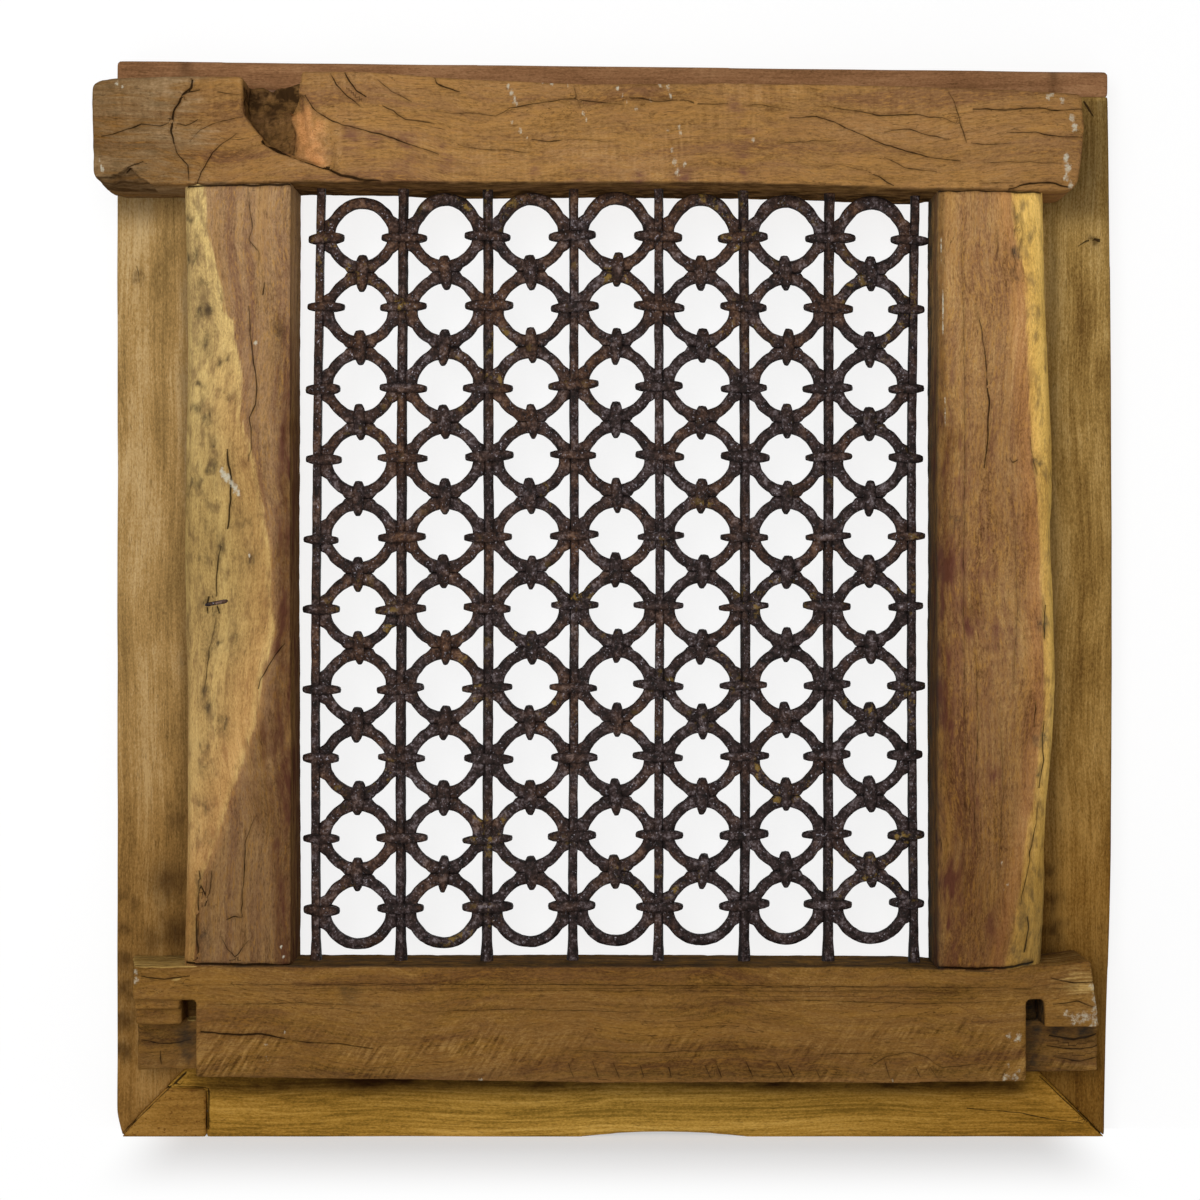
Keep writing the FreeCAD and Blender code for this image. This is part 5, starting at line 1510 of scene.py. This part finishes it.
def head_points(boxes, axis):
    """A mesh with a point where each head's middle is, and the way that the head faces."""
    middle = np.mean([(low + high) / 2 for low, high in boxes], axis=0)
    places = []
    ways = []
    for low, high in boxes:
        place = (low + high) / 2
        outward = 1 if axis != 0 or place[0] > middle[0] else -1
        place[axis] = high[axis] if outward > 0 else low[axis]
        way = np.zeros(3)
        way[axis] = outward
        places.append(place * MM)
        ways.append(way)
    mesh = bpy.data.meshes.new("heads")
    mesh.from_pydata([tuple(place) for place in places], [], [])
    give_marks(mesh, "way", *np.array(ways).T)
    return mesh


def drive(tree, given, shape):
    """Puts a fastener at each point, turned the way that its head faces, and ends the tree."""
    way = add(tree, "GeometryNodeInputNamedAttribute", {"Name": "way"}, data_type="FLOAT_VECTOR")
    turn = add(tree, "FunctionNodeAlignRotationToVector", {"Vector": way}, axis="Z")
    driven = add(tree, "GeometryNodeInstanceOnPoints", {"Points": given["Geometry"], "Instance": shape,
                                                        "Rotation": turn})
    spin = add(tree, "FunctionNodeRandomValue", {"Min": (-0.02, -0.02, -3.1), "Max": (0.02, 0.02, 3.1),
                                                 "Seed": given["Seed"]}, data_type="FLOAT_VECTOR")
    driven = add(tree, "GeometryNodeRotateInstances", {"Instances": driven, "Rotation": spin})
    driven = add(tree, "GeometryNodeRealizeInstances", {"Geometry": driven})
    driven = add(tree, "GeometryNodeSetMaterial", {"Geometry": driven, "Material": given["Finish"]})
    add(tree, "NodeGroupOutput", {"Geometry": driven})


def turned_part(tree, sides, top_diameter, foot_diameter, top, foot):
    """A round part between two depths under the head's face."""
    radii = [add(tree, "Math", size, 0.5, operation="MULTIPLY") for size in (top_diameter, foot_diameter)]
    height = add(tree, "Math", foot, top, operation="SUBTRACT")
    part = add(tree, "GeometryNodeMeshCone", {"Vertices": sides, "Side Segments": 3, "Radius Top": radii[0],
                                              "Radius Bottom": radii[1], "Depth": height})
    down = add(tree, "Math", foot, -1, operation="MULTIPLY")
    sunk = add(tree, "CombineXYZ", {2: down})
    return add(tree, "GeometryNodeTransform", {"Geometry": part, "Translation": sunk})


def joined(tree, *parts):
    join = tree.nodes.new("GeometryNodeJoinGeometry")
    for part in parts:
        tree.links.new(part, join.inputs[0])
    return join.outputs[0]


def screw_tree():
    """Countersunk wood screw: a bevelled head with a slot across it, a neck and a tapering threaded end."""
    tree, given = size_tree("slotted_screws", DRIVEN + (("Bevel", "Float"), ("Slot Width", "Float"),
                                                        ("Slot Depth", "Float")) + SPUN)
    face = add(tree, "Math", given["Bevel"], -2, given["Head Diameter"], operation="MULTIPLY_ADD")
    rim = turned_part(tree, 32, face, given["Head Diameter"], 0.0, given["Bevel"])
    cone = turned_part(tree, 32, given["Head Diameter"], given["Neck Diameter"], given["Bevel"],
                       given["Head Height"])
    head = add(tree, "GeometryNodeMergeByDistance", {"Geometry": joined(tree, rim, cone),
                                                     "Distance": 0.00001})
    tall = add(tree, "Math", given["Slot Depth"], 2, operation="MULTIPLY")
    long = add(tree, "Math", given["Head Diameter"], 1.3, operation="MULTIPLY")
    slot_size = add(tree, "CombineXYZ", long, given["Slot Width"], tall)
    slot = add(tree, "GeometryNodeMeshCube", {"Size": slot_size})
    cut = tree.nodes.new("GeometryNodeMeshBoolean")
    tree.links.new(head, cut.inputs["Mesh 1"])
    tree.links.new(slot, cut.inputs["Mesh 2"])
    point = add(tree, "Math", given["Neck Diameter"], 0.3, operation="MULTIPLY")
    shank = turned_part(tree, 16, given["Neck Diameter"], point, given["Head Height"], given["Length"])
    drive(tree, given, joined(tree, cut.outputs[0], shank))
    return tree


def nail_tree():
    """Round wire nail: a slightly domed head on a straight shank with a point."""
    tree, given = size_tree("wire_nails", DRIVEN + SPUN)
    crown = add(tree, "Math", given["Head Diameter"], 0.72, operation="MULTIPLY")
    shoulder = add(tree, "Math", given["Head Height"], 0.4, operation="MULTIPLY")
    tip = add(tree, "Math", given["Length"], 0.92, operation="MULTIPLY")
    drive(tree, given, joined(
        tree, turned_part(tree, 24, crown, given["Head Diameter"], 0.0, shoulder),
        turned_part(tree, 24, given["Head Diameter"], given["Head Diameter"], shoulder, given["Head Height"]),
        turned_part(tree, 16, given["Neck Diameter"], given["Neck Diameter"], given["Head Height"], tip),
        turned_part(tree, 16, given["Neck Diameter"], 0.0, tip, given["Length"])))
    return tree


def peg_tree():
    """Tenon peg whittled to nine sides, with a hammered end and a slight taper."""
    tree, given = size_tree("whittled_pegs", DRIVEN + SPUN)
    drive(tree, given, joined(
        tree, turned_part(tree, 9, given["Head Diameter"], given["Neck Diameter"], 0.0, given["Head Height"]),
        turned_part(tree, 9, given["Neck Diameter"], given["Head Diameter"], given["Head Height"],
                    given["Length"])))
    return tree


def make_fasteners():
    sorts = (("casing_screws", screw_tree(), 1, FASTENER_STEEL, "fastener_steel",
              {"Head Diameter": 9.6, "Head Height": 4.0, "Neck Diameter": 4.8, "Bevel": 0.5,
               "Slot Width": 1.3, "Slot Depth": 1.4}),
             ("top_board_nails", nail_tree(), 2, FASTENER_STEEL, "fastener_steel",
              {"Head Diameter": 6.4, "Head Height": 1.2, "Neck Diameter": 3.0}),
             ("corner_nails", nail_tree(), 0, FASTENER_STEEL, "fastener_steel",
              {"Head Diameter": 6.4, "Head Height": 1.2, "Neck Diameter": 3.0}),
             ("tenon_pegs", peg_tree(), 1, SILL_TEAK, "old_timber",
              {"Head Diameter": 10.0, "Head Height": 3.0, "Neck Diameter": 11.0}))
    for seed, (node, tree, axis, finish, slot, sizes) in enumerate(sorts):
        boxes = islands_of(node)
        # The right corner's nails are shorter than the left one's
        lengths = sorted({round(high[axis] - low[axis], 1) for low, high in boxes})
        meshes = []
        for length in lengths:
            alike = [box for box in boxes if round(box[1][axis] - box[0][axis], 1) == length]
            values = {name: size * MM for name, size in sizes.items()}
            meshes.append(grown(tree, {**values, "Length": length * MM, "Seed": 70 + seed, "Finish": finish},
                                head_points(alike, axis)))
        for number, mesh in enumerate(meshes):
            if node == "corner_nails":
                normals_of(mesh, drawn_in(points_of(mesh)))
            name = node if len(meshes) == 1 else f"{node}_{number + 1}"
            place_piece(name, mesh, finish, slot, node)


make_fasteners()

# An old nail, bent over and hammered flat on the left stile: pixel x, y, half width and half thickness
OLD_NAIL = ((204.5, 605, 0.8, 0.7), (206.5, 604.6, 1.9, 1.3), (212, 603.6, 1.8, 1.5), (219, 602.4, 1.9, 1.5),
            (225, 601.3, 2.1, 1.2), (227.5, 600.8, 1.0, 0.7))


def make_old_nail():
    sides = np.linspace(0, 2 * math.pi, 10, endpoint=False)
    rings = []
    for px, py, half_width, half_thickness in OLD_NAIL:
        x, z = from_photo(px, py)
        rings.append([(x + 0.3 * math.sin(3 * side), STILE_FACE - 0.2 + half_thickness * math.sin(side),
                       z + half_width * math.cos(side)) for side in sides])
    blank = solid_between(rings)
    even = blank.modifiers.new("even", "SUBSURF")
    even.levels = 2
    even.render_levels = 2
    place_piece("old_nail", evaluated(blank), IRON, "forged_iron")


make_old_nail()


# Stage

FLOOR_SIZE = 8.0
WALL_GAP = 6.0
# Where the floor keeps its shadow, in metres from the foot's middle: full at the first, none past the last
FOOT_MIDDLE = -0.05
SHADOW_WIDTH = (0.385, 0.46)
SHADOW_DEPTH = (0.02, 0.22)


def stage_sheet(name, corners, finish):
    mesh = bpy.data.meshes.new(name)
    mesh.from_pydata(corners, [], [(0, 1, 2, 3)])
    mesh.materials.append(finish)
    sheet = loose_object(name, mesh)
    return sheet


def studio_paper(name, glow, one_sided):
    """White studio paper. Part of it is glow that only the camera and reflections see, which keeps it white
    while it still takes the object's soft shadow. The floor glows less near the object's foot, where the
    shadow lies."""
    finish, tree, surface = new_finish(name)
    if not one_sided:
        spot = add(tree, "TexCoord", out="Object")
        spot = add(tree, "SeparateXYZ", spot, out="X").node.outputs
        depth = add(tree, "Math", spot["Y"], FOOT_MIDDLE, operation="SUBTRACT")
        near = 1 - glow
        for part, (start, end) in ((spot["X"], SHADOW_WIDTH), (depth, SHADOW_DEPTH)):
            away = add(tree, "Math", part, operation="ABSOLUTE")
            away = add(tree, "MapRange", away, start, end, 1, 0, interpolation_type="SMOOTHSTEP")
            near = add(tree, "Math", away, near, operation="MULTIPLY")
        glow = add(tree, "Math", 1, near, operation="SUBTRACT")
    surface.inputs["Base Color"].default_value = paint("#fcfcfc")
    surface.inputs["Roughness"].default_value = 0.9
    surface.inputs["Specular IOR Level"].default_value = 0
    share = add(tree, "Math", rays_seen(tree), glow, operation="MULTIPLY")
    white = add(tree, "Emission", {"Color": (1, 1, 1, 1), "Strength": 1})
    look = add(tree, "MixShader", share, surface.outputs[0], white)
    if one_sided:
        behind = add(tree, "NewGeometry", out="Backfacing")
        clear = add(tree, "BsdfTransparent")
        look = add(tree, "MixShader", behind, look, clear)
    tree.links.new(look, tree.nodes["Material Output"].inputs["Surface"])
    return finish


def make_stage():
    half = FLOOR_SIZE / 2
    ground = -0.2 * MM
    stage_sheet("floor", [(-half, -half, ground), (half, -half, ground), (half, half, ground),
                          (-half, half, ground)], studio_paper("floor_paper", 0.5, False))
    # The wall is seen from the front only, and keeps no light from the object's back
    wall_y = WALL_GAP * MM
    wall = stage_sheet("wall", [(-half, wall_y, ground), (half, wall_y, ground), (half, wall_y, half),
                                (-half, wall_y, half)], studio_paper("wall_paper", 0.82, True))
    wall.visible_diffuse = False
    wall.visible_glossy = False
    wall.visible_transmission = False
    wall.visible_shadow = False


def aim(obj, target):
    obj.rotation_mode = "QUATERNION"
    obj.rotation_quaternion = (Vector(target) - obj.location).to_track_quat("-Z", "Y")


def soft_lamp(name, place, target, width, power):
    data = bpy.data.lights.new(name, "AREA")
    data.size = width
    data.energy = power
    lamp = loose_object(name, data)
    lamp.location = place
    aim(lamp, target)


AMBIENT = 0.42


def make_light():
    middle = (0, -0.06, 0.5)
    soft_lamp("key_light", (-0.45, -2.5, 1.0), middle, 1.5, 42)
    soft_lamp("back_light", (0.5, 2.4, 1.3), middle, 1.5, 42)
    world = bpy.data.worlds.new("studio")
    bpy.context.scene.world = world
    world.use_nodes = True
    tree = world.node_tree
    level = add(tree, "MapRange", rays_seen(tree), 0, 1, AMBIENT)
    background = tree.nodes["Background"]
    background.inputs["Color"].default_value = (1, 1, 1, 1)
    tree.links.new(level, background.inputs["Strength"])


def make_camera():
    data = bpy.data.cameras.new("photo_camera")
    data.sensor_width = SENSOR_WIDTH
    data.lens = SENSOR_WIDTH * CAMERA_DISTANCE / (PHOTO_SIDE * PHOTO_MM_PER_PIXEL)
    data.clip_end = 100
    camera = loose_object("photo_camera", data)
    camera.location = (CAMERA_X * MM, (FACE - CAMERA_DISTANCE) * MM, CAMERA_Z * MM)
    camera.rotation_euler = (math.pi / 2, 0, 0)
    bpy.context.scene.camera = camera


make_stage()
make_light()
make_camera()
bpy.context.scene.view_settings.view_transform = "Standard"
